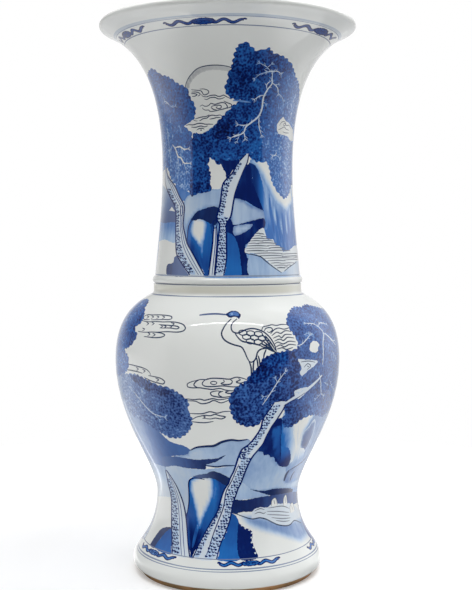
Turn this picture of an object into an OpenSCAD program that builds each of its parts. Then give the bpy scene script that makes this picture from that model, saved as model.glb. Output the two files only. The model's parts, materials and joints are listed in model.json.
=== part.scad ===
// Yen yen vase: a tall porcelain vase with a trumpet neck, a collar, a round-shouldered body
// and a spreading foot. It is thrown in sections that are luted together with slip and glazed.
// Origin at the centre of the standing ring, Z up. All sizes in millimetres.

/* [Overall] */
// Height from the standing ring to the top of the lip
height = 455; // [435:1:480]
// Thickness of the fired glaze
glaze_t = 0.5; // [0.3:0.1:1]
// Thickness of the slip in every luted joint
slip_t = 0.8; // [0.4:0.1:1.5]
// Rise of the inner edge of a joint over its outer edge, which keys the sections
joint_key = 2; // [0:0.5:3]

/* [Mouth] */
// Diameter across the lip
mouth_d = 212; // [190:1:226]
// Rise of the flare at the lip, in degrees from level
flare_rise = 22; // [12:1:32]
// How far the flare keeps that rise, measured back from the lip
flare_sweep = 41; // [30:1:50]

/* [Neck] */
// Diameter at the narrowest point of the neck
neck_d = 108.6; // [100:0.2:116]
// Height of the narrowest point
neck_z = 337; // [315:1:355]
// How far the neck stays straight above its narrowest point
neck_sweep_up = 54; // [40:1:64]
// How far the neck stays straight below its narrowest point
neck_sweep_down = 32; // [20:1:38]
// Diameter where the neck meets the collar
neck_foot_d = 121.4; // [119:0.2:123]
// Lean of the neck over the collar, in degrees from upright
neck_lean = 5.2; // [2:0.2:8]
// How far the neck keeps that lean
neck_foot_sweep = 35; // [20:1:40]
// Thickness of the neck wall and of the lip, glaze included
neck_wall = 6; // [5:0.5:7]

/* [Collar] */
// Height of the foot of the collar, where the shoulder begins
collar_z = 231.5; // [225:0.5:238]
// Height of the collar
collar_h = 15.5; // [14:0.5:18]
// Diameter of the flat band of the collar
collar_d = 123.8; // [122:0.2:126]
// Diameter of the coved foot of the collar
collar_foot_d = 130.4; // [128:0.2:134]
// Height of the cove at the foot of the collar
cove_h = 5.5; // [4:0.5:7]
// How hollow the cove is, from 0 for a deep hollow to 1 for a flat slope
cove_round = 0.3; // [0.1:0.05:0.6]
// Height of the rounded bead at the top of the collar
bead_h = 5.3; // [4:0.1:6.5]
// How far the bead stands out beyond the band
bead_out = 1.4; // [0.8:0.1:2]
// Depth of the groove under the bead
groove_depth = 0.8; // [0.4:0.1:1.2]
// Height of the groove under the bead
groove_h = 1; // [0.6:0.1:1.5]
// Thickness of the collar behind its band
collar_t = 4; // [3:0.2:5]
// Height of the joint of neck and shoulder above the foot of the collar
neck_joint_h = 7.5; // [5:0.5:9]

/* [Body] */
// Diameter at the widest point of the body
belly_d = 188; // [174:1:200]
// Height of the widest point
belly_z = 177; // [165:1:190]
// Fall of the shoulder where it leaves the collar, in degrees from level
shoulder_fall = 30; // [22:1:38]
// How far the shoulder keeps that fall
shoulder_sweep = 18; // [12:1:22]
// How far the body stays straight above its widest point
belly_sweep_up = 33; // [24:1:38]
// How far the body stays straight below its widest point
belly_sweep_down = 50; // [38:1:60]
// Diameter at the lower waist
waist_d = 118.8; // [110:0.2:126]
// Height of the lower waist
waist_z = 65; // [58:1:74]
// How far the body stays straight above the lower waist
waist_sweep_up = 25; // [16:1:34]
// Thickness of the wall of body and foot, glaze included
body_wall = 7; // [6:0.5:8]

/* [Foot] */
// Diameter at the widest point of the foot
foot_d = 159; // [154:0.5:166]
// Height of the widest point of the foot
foot_z = 11.5; // [10:0.5:13]
// How far the foot stays straight below the lower waist
waist_sweep_down = 34; // [26:1:40]
// How far the foot stays straight above its widest point
foot_sweep = 9; // [6:0.5:12]
// How round the foot is below its widest point
edge_round = 3.2; // [2:0.2:4]
// Diameter of the lower edge of the glaze
glaze_edge_d = 151; // [148:0.5:153]
// Height of the lower edge of the glaze
glaze_edge_z = 4.4; // [3:0.2:5.5]
// Outer diameter of the bare standing ring
stand_d = 146; // [140:0.5:148]
// Inner diameter of the bare standing ring
recess_d = 128; // [124:0.5:134]
// Depth of the recess under the base
recess_h = 13.5; // [10:0.5:16]
// Thickness of the base
base_t = 8; // [6:0.5:10]
// Inside diameter at the floor
floor_d = 110; // [106:0.5:114]
// How far the inside of the foot stays straight at the floor and at the lower waist
floor_sweep = 18; // [10:1:24]
// How much the base widens downwards, on its radius
base_taper = 3; // [1.5:0.5:4]

/* [Hidden] */
$fn = 144;

biscuit_colour = "#c9ab80";
clay_colour = "#e2ddd2";
slip_colour = "#cfc7b8";
glaze_colour = "#e7ebe9";
underglaze_colour = "#dfe5ea";

// Number of straight steps on each curve of the outline
edge_steps = 6;
foot_steps = 14;
lower_steps = 14;
shoulder_steps = 12;
cove_steps = 5;
bead_steps = 8;
neck_steps = 9;
mouth_steps = 18;
lip_steps = 10;
floor_steps = 6;

// Point and list functions
function bezier(a, b, c, d, t) =
    pow(1 - t, 3) * a + 3 * pow(1 - t, 2) * t * b + 3 * (1 - t) * t * t * c + pow(t, 3) * d;
function curve(a, b, c, d, steps) = [for (i = [0 : steps]) bezier(a, b, c, d, i / steps)];
function slice(path, first, last) = [for (i = [first : last]) path[i]];
function tail(path) = slice(path, 1, len(path) - 1);
function between(path) = slice(path, 1, len(path) - 2);
function reverse(path) = [for (i = [len(path) - 1 : -1 : 0]) path[i]];
function polar(length, angle) = length * [cos(angle), sin(angle)];

// Unit normal on the left of the step that starts at point i
function step_normal(path, i) =
    let (d = path[i + 1] - path[i])
    [-d[1], d[0]] / norm(d);

// The path moved to its left by a distance that stays the same at every corner
function inset(path, distance) =
    [for (i = [0 : len(path) - 1])
        let (before = step_normal(path, max(i - 1, 0)),
             after = step_normal(path, min(i, len(path) - 2)))
        path[i] + distance * (before + after) / (1 + before * after)];

// The two corners of a joint, below and above its slip
half_slip = [0, slip_t / 2];
function joint(point) = [point - half_slip, point + half_slip];

// Stations of the outline, each [radius, height]
glaze_edge = [glaze_edge_d / 2, glaze_edge_z];
foot_widest = [foot_d / 2, foot_z];
waist = [waist_d / 2, waist_z];
belly = [belly_d / 2, belly_z];
collar_foot = [collar_foot_d / 2, collar_z];
neck_foot = [neck_foot_d / 2, collar_z + collar_h];
neck_waist = [neck_d / 2, neck_z];
lip_r = neck_wall / 2;
lip_centre = [mouth_d / 2 - lip_r, height - lip_r];
lip_outer = lip_centre + polar(lip_r, flare_rise - 90);

// Collar, from its coved foot up to the bead
band_r = collar_d / 2;
band_low = [band_r, collar_z + cove_h];
cove_corner = [band_r, collar_z + cove_h * cove_round];
bead_z = collar_z + collar_h - bead_h;
groove_low = [band_r, bead_z - groove_h];
groove_deep = [band_r - groove_depth, bead_z - groove_h / 2];
bead_low = [band_r - groove_depth / 2, bead_z];
bead_r = band_r + bead_out;

// Outer curves, each running upwards
edge_curve = curve(glaze_edge, [glaze_edge[0] + edge_round, glaze_edge_z],
                   foot_widest - [0, edge_round], foot_widest, edge_steps);
foot_curve = curve(foot_widest, foot_widest + [0, foot_sweep],
                   waist - [0, waist_sweep_down], waist, foot_steps);
lower_curve = curve(waist, waist + [0, waist_sweep_up],
                    belly - [0, belly_sweep_down], belly, lower_steps);
shoulder_curve = curve(belly, belly + [0, belly_sweep_up],
                       collar_foot + polar(shoulder_sweep, -shoulder_fall), collar_foot, shoulder_steps);
cove_curve = curve(collar_foot, cove_corner, cove_corner, band_low, cove_steps);
bead_curve = curve(bead_low, [bead_r, bead_z], [bead_r, neck_foot[1]], neck_foot, bead_steps);
neck_curve = curve(neck_foot, neck_foot + polar(neck_foot_sweep, 90 + neck_lean),
                   neck_waist - [0, neck_sweep_down], neck_waist, neck_steps);
mouth_curve = curve(neck_waist, neck_waist + [0, neck_sweep_up],
                    lip_outer - polar(flare_sweep, flare_rise), lip_outer, mouth_steps);
lip_curve = [for (i = [0 : lip_steps]) lip_centre + polar(lip_r, flare_rise - 90 + 180 * i / lip_steps)];

// Seat of the collar, and the throat inside it
seat_r = band_r - collar_t - slip_t;
throat_r = seat_r - neck_wall;
neck_joint_z = collar_z + neck_joint_h;

// Inner curves, each running upwards
key = [0, joint_key];
base_top_z = recess_h + base_t;
floor_edge = [floor_d / 2, base_top_z + glaze_t];
waist_inside = waist - [body_wall, 0];
belly_inside = belly - [body_wall, 0];
floor_curve = curve(floor_edge, floor_edge + [0, floor_sweep],
                    waist_inside - [0, floor_sweep], waist_inside, floor_steps);
lower_inside = inset(lower_curve, body_wall);
shoulder_inside = inset(shoulder_curve, body_wall);
shoulder_top = shoulder_inside[shoulder_steps];
throat_low = [throat_r, shoulder_top[1] + (shoulder_top[0] - throat_r) * tan(shoulder_fall)];
neck_inside = inset(concat(neck_curve, tail(mouth_curve)), neck_wall);

// Finished surface: up the outside from the lower edge of the glaze, over the lip and down the inside
outside = concat(edge_curve, between(foot_curve), joint(waist), between(lower_curve), joint(belly),
                 tail(shoulder_curve), tail(cove_curve), [groove_low, groove_deep], bead_curve,
                 tail(neck_curve), tail(mouth_curve), tail(lip_curve));
inside = concat([[0, floor_edge[1]]], slice(floor_curve, 0, floor_steps - 1), joint(waist_inside + key),
                between(lower_inside), joint(belly_inside + key), tail(shoulder_inside), [throat_low],
                joint([throat_r, neck_joint_z] + key), [[throat_r, neck_foot[1]]], between(neck_inside));
finished = concat(outside, reverse(inside));

// The clay under the glaze, point for point
clay = inset(finished, glaze_t);

// Where the joints and edges lie along the finished surface: the lower corner of a joint outside,
// the upper corner of a joint inside
at_waist = edge_steps + foot_steps;
at_belly = at_waist + 1 + lower_steps;
at_collar = at_belly + 1 + shoulder_steps;
at_neck = at_collar + cove_steps + 3 + bead_steps;
at_lip = len(outside) - 1;
in_joint = at_lip + neck_steps + mouth_steps + 1;
in_belly = in_joint + shoulder_steps + 3;
in_waist = in_belly + lower_steps + 1;
in_floor = in_waist + floor_steps + 1;
in_centre = in_floor + 1;

ledge_z = clay[at_collar][1];
step_z = clay[at_neck][1];
neck_joint_out = joint([seat_r, neck_joint_z]);

// Base, and the seat that it is luted into
base_top_r = clay[in_floor][0] - slip_t;
base_low_r = base_top_r + base_taper;

module turned(colour, profile)
    color(colour)
        rotate_extrude()
            polygon(profile);

module lute(outer, inner)
    turned(slip_colour, concat(outer, inner));

module trumpet_neck()
    turned(clay_colour, concat(slice(clay, at_neck, in_joint), [neck_joint_out[1], [seat_r, step_z]]));

module collar()
    turned(clay_colour, concat(slice(clay, at_collar, at_neck),
                               [[seat_r + slip_t, step_z], [seat_r + slip_t, ledge_z]]));

module shoulder()
    turned(clay_colour, concat(slice(clay, at_belly + 1, at_collar), [[seat_r, ledge_z], neck_joint_out[0]],
                               slice(clay, in_joint + 1, in_belly)));

module lower_body()
    turned(clay_colour, concat(slice(clay, at_waist + 1, at_belly), slice(clay, in_belly + 1, in_waist)));

module foot()
    turned(biscuit_colour, concat([[recess_d / 2, 0], [stand_d / 2, 0]], slice(clay, 0, at_waist),
                                  slice(clay, in_waist + 1, in_floor), [[base_low_r + slip_t, recess_h]]));

module base()
    turned(clay_colour, [[0, recess_h], [base_low_r, recess_h], [base_top_r, base_top_z], [0, base_top_z]]);

module neck_lute()
    lute(neck_joint_out, slice(clay, in_joint, in_joint + 1));

module collar_lute()
    turned(slip_colour, [[seat_r, ledge_z], [seat_r + slip_t, ledge_z],
                         [seat_r + slip_t, step_z], [seat_r, step_z]]);

module belly_lute()
    lute(slice(clay, at_belly, at_belly + 1), slice(clay, in_belly, in_belly + 1));

module waist_lute()
    lute(slice(clay, at_waist, at_waist + 1), slice(clay, in_waist, in_waist + 1));

module base_lute()
    turned(slip_colour, [[base_low_r, recess_h], [base_low_r + slip_t, recess_h],
                         [base_top_r + slip_t, base_top_z], [base_top_r, base_top_z]]);

module outer_glaze()
    turned(underglaze_colour, concat(slice(finished, 0, at_lip), reverse(slice(clay, 0, at_lip))));

module inner_glaze()
    turned(glaze_colour, concat(slice(finished, at_lip, in_centre), reverse(slice(clay, at_lip, in_centre))));

module base_glaze()
    turned(glaze_colour, [[0, recess_h - glaze_t], [base_low_r, recess_h - glaze_t],
                          [base_low_r, recess_h], [0, recess_h]]);

trumpet_neck();
collar();
shoulder();
lower_body();
foot();
base();
neck_lute();
collar_lute();
belly_lute();
waist_lute();
base_lute();
outer_glaze();
inner_glaze();
base_glaze();
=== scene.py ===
"""The finish of a blue and white yen yen vase: painted glaze, bare clay and a plain studio.

The cobalt painting is drawn on the unrolled surface of the vase, in degrees round the axis and
millimetres of height. The glaze is cut along every brush edge, so the painting is part of the mesh.
"""

import json
import math
import random

import bpy
import numpy as np
from bpy.props import FloatProperty, FloatVectorProperty, PointerProperty
from bpy.types import Operator, Panel, PropertyGroup
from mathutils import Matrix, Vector
from mathutils.geometry import delaunay_2d_cdt


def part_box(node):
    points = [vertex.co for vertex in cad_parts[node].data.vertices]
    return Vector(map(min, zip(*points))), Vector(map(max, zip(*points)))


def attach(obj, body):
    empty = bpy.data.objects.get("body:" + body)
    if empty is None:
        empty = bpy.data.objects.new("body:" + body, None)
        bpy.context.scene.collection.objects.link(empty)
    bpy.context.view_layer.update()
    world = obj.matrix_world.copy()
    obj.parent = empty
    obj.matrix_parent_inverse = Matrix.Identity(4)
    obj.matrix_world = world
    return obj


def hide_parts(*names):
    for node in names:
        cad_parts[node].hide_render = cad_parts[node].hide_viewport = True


bl_info = {
    "name": "Yen Yen Vase",
    "version": (1, 0, 0),
    "blender": (4, 5, 0),
    "location": "View3D > Sidebar > Vase",
    "description": "Glaze, cobalt painting, bare clay and studio for a blue and white vase",
    "category": "Object",
}

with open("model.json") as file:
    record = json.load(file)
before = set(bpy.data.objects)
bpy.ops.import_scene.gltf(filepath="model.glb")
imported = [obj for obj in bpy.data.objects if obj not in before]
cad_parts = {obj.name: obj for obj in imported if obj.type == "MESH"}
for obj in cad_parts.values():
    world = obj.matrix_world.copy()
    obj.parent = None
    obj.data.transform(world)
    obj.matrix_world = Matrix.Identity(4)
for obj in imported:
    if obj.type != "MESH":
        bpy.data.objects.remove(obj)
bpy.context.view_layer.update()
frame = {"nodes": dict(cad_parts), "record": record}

MM = 0.001
IMAGE_W = 472
IMAGE_H = 590
SENSOR_MM = 36.0

# Strength of the cobalt, from bare porcelain to the darkest pooled wash
BARE = 0.0
MIST = 0.1
PALE = 0.3
SOFT = 0.42
MID = 0.55
FULL = 0.7
DENSE = 0.8
STRONG = 0.85
DEEP = 1.0
NIGHT = 1.25

# What settings of one kind share
COLOUR = {"subtype": "COLOR", "size": 3, "min": 0, "max": 1}
SHINE = {"min": 0, "max": 5}
POWER = {"unit": "POWER", "min": 0, "max": 100}


# Settings

class VaseColours(PropertyGroup):
    """Colours of the glaze, the painting and the bare clay."""

    porcelain: FloatVectorProperty(
        name="Porcelain", description="White porcelain seen through the clear glaze",
        **COLOUR, default=(0.80, 0.82, 0.80))
    # Painted highlight: white laid along the upper edge of the lip, where light from above falls on it
    lip: FloatVectorProperty(
        name="Lip", description="White of the lip, where the glaze runs thin",
        **COLOUR, default=(0.95, 0.96, 0.94))
    # Painted reflection: a warm tint all round the band of the collar, standing for a warm reflection on its
    # front
    collar: FloatVectorProperty(
        name="Collar", description="Warm white on the band of the collar",
        **COLOUR, default=(0.72, 0.71, 0.61))
    cobalt_pale: FloatVectorProperty(
        name="Pale wash", description="Thin wash of cobalt",
        **COLOUR, default=(0.36, 0.54, 0.80))
    cobalt_mid: FloatVectorProperty(
        name="Middle wash", description="Cobalt at middle strength",
        **COLOUR, default=(0.02, 0.16, 0.52))
    cobalt_full: FloatVectorProperty(
        name="Full wash", description="Cobalt at full strength",
        **COLOUR, default=(0.014, 0.082, 0.34))
    cobalt_deep: FloatVectorProperty(
        name="Deep cobalt", description="Pooled cobalt",
        **COLOUR, default=(0.002, 0.014, 0.125))
    cobalt_night: FloatVectorProperty(
        name="Darkest cobalt", description="Cobalt where many strokes overlap",
        **COLOUR, default=(0.001, 0.004, 0.034))
    outline: FloatVectorProperty(
        name="Outline", description="Dark grey-blue of the fine drawn lines",
        **COLOUR, default=(0.020, 0.040, 0.100))
    clay: FloatVectorProperty(
        name="Clay", description="Fired porcelain clay without glaze",
        **COLOUR, default=(0.64, 0.60, 0.52))
    slip: FloatVectorProperty(
        name="Slip", description="Fired slip in the joints",
        **COLOUR, default=(0.56, 0.51, 0.43))
    burnt: FloatVectorProperty(
        name="Burnt clay", description="Bare clay burnt brown on the standing ring",
        **COLOUR, default=(0.28, 0.17, 0.075))


class VasePainting(PropertyGroup):
    """How fine the painted glaze is cut."""

    column: FloatProperty(
        name="Column", description="Angle between the upright lines of the glaze sheet",
        default=math.radians(2.5), min=math.radians(1), max=math.radians(6), subtype="ANGLE")
    row: FloatProperty(
        name="Row", description="Largest height of a row of the glaze sheet",
        default=0.0026, min=0.001, max=0.006, unit="LENGTH")
    row_turn: FloatProperty(
        name="Row turn", description="Largest bend of the wall from row to row",
        default=math.radians(6), min=math.radians(2), max=math.radians(15), subtype="ANGLE")
    edge: FloatProperty(
        name="Edge step", description="Distance between the points of a painted edge",
        default=0.0011, min=0.0005, max=0.003, unit="LENGTH")


class VaseStage(PropertyGroup):
    """Camera and light of the studio."""

    distance: FloatProperty(
        name="Distance", description="From the axis of the vase to the camera",
        default=0.8711, min=0.5, max=3, unit="LENGTH")
    height: FloatProperty(
        name="Height", description="Height of the camera",
        default=0.273, min=0, max=1, unit="LENGTH")
    tilt: FloatProperty(
        name="Tilt", description="How far the camera looks down",
        default=math.radians(2.79), subtype="ANGLE")
    focal: FloatProperty(
        name="Focal length", description="Focal length in pixels of the picture",
        default=1036, min=300, max=4000)
    axis_column: FloatProperty(
        name="Axis column", description="Column of the picture that holds the axis of the vase",
        default=227.5, min=0, max=IMAGE_W)
    ambient: FloatProperty(
        name="Ambient", description="Strength of the light from all round",
        default=0.52, min=0, max=2)
    front: FloatProperty(
        name="Front shine", description="Brightness of the dark side of the studio in reflections",
        default=0.05, **SHINE)
    sides: FloatProperty(
        name="Side shine", description="Brightness of the white screens beside the vase in reflections",
        default=1.1, **SHINE)
    low: FloatProperty(
        name="Low shine", description="Brightness of the table in reflections",
        default=1.8, **SHINE)
    back: FloatProperty(
        name="Back shine", description="Brightness of the backdrop in reflections",
        default=0.9, **SHINE)
    fill: FloatProperty(
        name="Front fill", description="Power of the broad light in front",
        default=3, **POWER)
    top: FloatProperty(
        name="Top light", description="Power of the broad light overhead",
        default=19.5, **POWER)
    strip: FloatProperty(
        name="Overhead strip", description="Power of the strip of light overhead",
        default=4.2, **POWER)
    floor: FloatVectorProperty(
        name="Floor", description="Colour of the table and the backdrop",
        **COLOUR, default=(0.88, 0.88, 0.88))


def settings(group):
    """The add-on's settings of one group, such as colours."""
    return getattr(bpy.context.scene, "vase_" + group)


# Shader maths

class Wire:
    """A node socket that takes part in sums: each operator adds a Math node."""

    def __init__(self, shader, socket):
        self.shader = shader
        self.socket = socket

    def _math(self, operation, *values):
        return self.shader.node("ShaderNodeMath", {"operation": operation}, values)

    def __add__(self, other):
        return self._math("ADD", self, other)

    def __radd__(self, other):
        return self._math("ADD", other, self)

    def __sub__(self, other):
        return self._math("SUBTRACT", self, other)

    def __rsub__(self, other):
        return self._math("SUBTRACT", other, self)

    def __mul__(self, other):
        return self._math("MULTIPLY", self, other)

    def __rmul__(self, other):
        return self._math("MULTIPLY", other, self)

    def clamp(self):
        """Cut off below 0 and above 1."""
        return self.shader.node("ShaderNodeMath", {"operation": "ADD", "use_clamp": True}, (self, 0.0))

    def most(self, other):
        """The greater of two values."""
        return self._math("MAXIMUM", self, other)

    def step(self, low, high):
        """Eases from 0 at low to 1 at high."""
        return self.shader.node("ShaderNodeMapRange", {"interpolation_type": "SMOOTHSTEP"},
                                {"Value": self, "From Min": low, "From Max": high})


class Shader:
    """A new material, or the world, and the nodes that are added to it."""

    def __init__(self, name, owner=None):
        self.owner = owner or bpy.data.materials.new(name)
        self.owner.use_nodes = True
        self.tree = self.owner.node_tree
        self.tree.nodes.clear()

    def node(self, kind, options=None, sockets=(), output=0):
        """Adds a node: its options first, then values or links for its sockets. Returns an output."""
        made = self.tree.nodes.new(kind)
        for name, value in (options or {}).items():
            if name == "stops":
                self._stops(made.color_ramp, value)
            else:
                setattr(made, name, value)
        pairs = sockets.items() if isinstance(sockets, dict) else enumerate(sockets)
        for key, value in pairs:
            if isinstance(value, Wire):
                self.tree.links.new(value.socket, made.inputs[key])
            else:
                made.inputs[key].default_value = value
        return Wire(self, made.outputs[output]) if made.outputs else made

    @staticmethod
    def _stops(ramp, stops):
        while len(ramp.elements) < len(stops):
            ramp.elements.new(1.0)
        for element, (place, colour) in zip(ramp.elements, stops):
            element.position = place
            element.color = (*colour, 1.0)

    def attribute(self, name):
        """A number stored on the mesh."""
        return self.node("ShaderNodeAttribute", {"attribute_name": name}, output="Fac")

    def place(self, scale=(1.0, 1.0, 1.0)):
        """Object coordinates, stretched by scale."""
        spot = self.node("ShaderNodeTexCoord", output="Object")
        return self.node("ShaderNodeMapping", None, {"Vector": spot, "Scale": scale})

    def noise(self, scale, detail=2.0, stretch=(1.0, 1.0, 1.0)):
        """Soft noise from 0 to 1, with about scale cells in a metre."""
        inputs = {"Vector": self.place(stretch), "Scale": scale, "Detail": detail}
        return self.node("ShaderNodeTexNoise", None, inputs)

    def mix(self, factor, first, second):
        """Blends two colours. The node has a set of sockets for each kind of value, hence the numbers."""
        first, second = (side if isinstance(side, Wire) else (*side, 1.0) for side in (first, second))
        return self.node("ShaderNodeMix", {"data_type": "RGBA"}, {0: factor, 6: first, 7: second}, 2)

    def bump(self, height, distance, strength=1.0):
        """A normal from a height, with the real depth of the relief."""
        return self.node("ShaderNodeBump", None,
                         {"Height": height, "Distance": distance, "Strength": strength})

    def finish(self, sockets):
        """Ends the material in a Principled BSDF."""
        surface = self.node("ShaderNodeBsdfPrincipled", None, sockets)
        self.node("ShaderNodeOutputMaterial", None, {"Surface": surface})
        return self.owner


# Materials: the grain of each finish, as cells in a metre, and its relief, in metres

TUFTS = 520.0
NEEDLES = 620.0
NEEDLE_SHADE = 95.0
POOLS = 42.0
STREAKS = 300.0
STREAK_STRETCH = (1.0, 1.0, 0.16)
DRIFTS = 18.0
POLISH = 90.0
WAVES = 28.0
WAVE_RELIEF = 0.0006
CLAY_GRAIN = 1400.0
CLAY_TONE = 60.0
CLAY_RELIEF = 0.0002
KILN_GRIT = 1100.0
KILN_PATCHES = 38.0
KILN_SCORCH = 170.0
KILN_RELIEF = 0.0004

# Heights between which the painted reflection on the collar and the painted highlight on the lip come and go
COLLAR_REFLECTION_STARTS = (0.233, 0.236)
COLLAR_REFLECTION_ENDS = (0.239, 0.241)
LIP_HIGHLIGHT_STARTS = (0.4505, 0.4545)


def painted_glaze():
    """Clear glaze over porcelain with cobalt painting; the mesh says where and how strong."""
    colours = settings("colours")
    shader = Shader("painted_glaze")
    cobalt = shader.attribute("cobalt")
    leaf = shader.attribute("leaf")
    ink = shader.attribute("ink")
    tufts = shader.node("ShaderNodeTexVoronoi", None, {"Vector": shader.place(), "Scale": TUFTS})
    needles = shader.noise(NEEDLES, 3.0) - 0.5
    shade = shader.noise(NEEDLE_SHADE, 3.0) - 0.5
    stipple = leaf * ((0.45 - tufts) * 0.5 + needles * 0.75 + shade * 0.55)
    pooling = shader.noise(POOLS, 3.0) - 0.5
    streaks = shader.noise(STREAKS, 2.0, STREAK_STRETCH) - 0.5
    painted = cobalt.step(0.02, PALE)
    strength = cobalt + stipple + painted * (1.0 - leaf) * (pooling * 0.22 + streaks * 0.2)
    stops = (
        (BARE, colours.porcelain),
        (PALE, colours.cobalt_pale),
        (MID, colours.cobalt_mid),
        (DENSE, colours.cobalt_full),
        (DEEP, colours.cobalt_deep),
        (NIGHT, colours.cobalt_night),
    )
    stops = tuple((place / NIGHT, colour) for place, colour in stops)
    colour = shader.node("ShaderNodeValToRGB", {"stops": stops}, ((strength * (1.0 / NIGHT)).clamp(),))
    drawn = shader.mix((cobalt + stipple).clamp(), colours.porcelain, colours.outline)
    height = shader.node("ShaderNodeSeparateXYZ", None, (shader.place(),), "Z")
    # Painted highlight: the lip whitens towards its upper edge
    lip = height.step(*LIP_HIGHLIGHT_STARTS)
    # Painted reflection: a warm tint on the band of the collar, varied by noise
    collar = height.step(*COLLAR_REFLECTION_STARTS) * (1.0 - height.step(*COLLAR_REFLECTION_ENDS))
    warm_reflection = collar * (0.5 + 0.6 * shader.noise(DRIFTS, 3.0))
    colour = shader.mix(warm_reflection, shader.mix(ink, colour, drawn), colours.collar)
    return shader.finish({
        "Base Color": shader.mix(lip, colour, colours.lip),
        "Roughness": 0.035 + shader.noise(POLISH) * 0.03,
        "IOR": 1.5,
        "Normal": shader.bump(shader.noise(WAVES), WAVE_RELIEF, 0.3),
    })


def clear_glaze(name, shade=1.0):
    """Clear glaze over white porcelain, with faint drifts of colour; shade darkens it as painted shade."""
    shader = Shader(name)
    drift = shader.noise(DRIFTS, 3.0).step(0.35, 0.75)
    white = tuple(value * shade for value in settings("colours").porcelain)
    warm = tuple(value * tint for value, tint in zip(white, (0.97, 0.95, 0.90)))
    colour = shader.mix(drift, white, warm)
    return shader.finish({
        "Base Color": colour,
        "Roughness": 0.09 + shader.noise(POLISH) * 0.05,
        "IOR": 1.47,
        "Normal": shader.bump(shader.noise(WAVES), WAVE_RELIEF, 0.35),
    })


def bare_clay(name, colour):
    """Matt fired clay with fine grain and a slight change of tone."""
    shader = Shader(name)
    grain = shader.noise(CLAY_GRAIN, 4.0)
    tone = shader.noise(CLAY_TONE, 3.0).step(0.3, 0.75)
    darker = tuple(value * 0.78 for value in colour)
    return shader.finish({
        "Base Color": shader.mix(tone, colour, darker),
        "Roughness": 0.72 + grain * 0.2,
        "Normal": shader.bump(grain, CLAY_RELIEF),
    })


def burnt_ring():
    """Bare clay of the standing ring, burnt brown and orange in patches, with kiln grit."""
    brown = settings("colours").burnt
    orange = tuple(value * tint for value, tint in zip(brown, (1.75, 1.55, 1.5)))
    dark = tuple(value * 0.42 for value in brown)
    shader = Shader("burnt_ring")
    grit = shader.noise(KILN_GRIT, 4.0)
    patches = shader.noise(KILN_PATCHES, 4.0).step(0.36, 0.66)
    scorched = shader.noise(KILN_SCORCH, 3.0).step(0.56, 0.72)
    return shader.finish({
        "Base Color": shader.mix(scorched * 0.75, shader.mix(patches, brown, orange), dark),
        "Roughness": 0.7 + grit * 0.22,
        "Normal": shader.bump(grit, KILN_RELIEF),
    })


# The turned surface

# Corners of a section closer than this, in millimetres, are one corner
CORNER_GAP = 0.02


def vertex_places(mesh):
    """The points of a mesh, one in a row."""
    places = np.empty(len(mesh.vertices) * 3)
    mesh.vertices.foreach_get("co", places)
    return places.reshape(-1, 3)


def ring_outline(node):
    """Corners (radius, height) of a turned node's section, in millimetres, and each one's neighbours."""
    mesh = frame["nodes"][node].data
    places = vertex_places(mesh) / MM
    section = np.stack([np.hypot(places[:, 0], places[:, 1]), places[:, 2]], 1)
    corners, ring = np.unique(np.round(section, 2), axis=0, return_inverse=True)
    ring = ring.reshape(-1)
    edges = np.empty(len(mesh.edges) * 2, int)
    mesh.edges.foreach_get("vertices", edges)
    joined = np.unique(ring[edges.reshape(-1, 2)], axis=0)
    neighbours = {index: set() for index in range(len(corners))}
    for first, second in joined:
        if first != second:
            neighbours[first].add(second)
            neighbours[second].add(first)
    return corners, neighbours


def walk(corners, neighbours, start, towards, stop):
    """Follows the section from corner to corner until stop(corner) is true."""
    path = [start, towards]
    while not stop(corners[path[-1]]):
        path.append((neighbours[path[-1]] - {path[-2]}).pop())
    return corners[path]


def inner_corners():
    """The inside of the vase, from the middle of the floor up to the inner edge of the lip."""
    corners, neighbours = ring_outline("inner_glaze")
    ends = [index for index in neighbours if len(neighbours[index]) == 1]
    start = max(ends, key=lambda index: corners[index][1])
    top = corners[:, 1].max()
    path = walk(corners, neighbours, start, min(neighbours[start]), lambda corner: corner[1] == top)
    return np.vstack([(0.0, path[0][1]), path])


def outer_corners():
    """The outside of the vase, from under the edge of the glaze up and over the lip."""
    corners, neighbours = ring_outline("outer_glaze")
    start = int(np.argmin(corners[:, 1]))
    towards = max(neighbours[start], key=lambda index: corners[index][0])
    under = min(neighbours[start], key=lambda index: corners[index][0])
    lip = inner_corners()[-1]
    path = walk(corners, neighbours, start, towards, lambda corner: np.abs(corner - lip).max() < CORNER_GAP)
    return np.vstack([corners[under], path])


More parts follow.
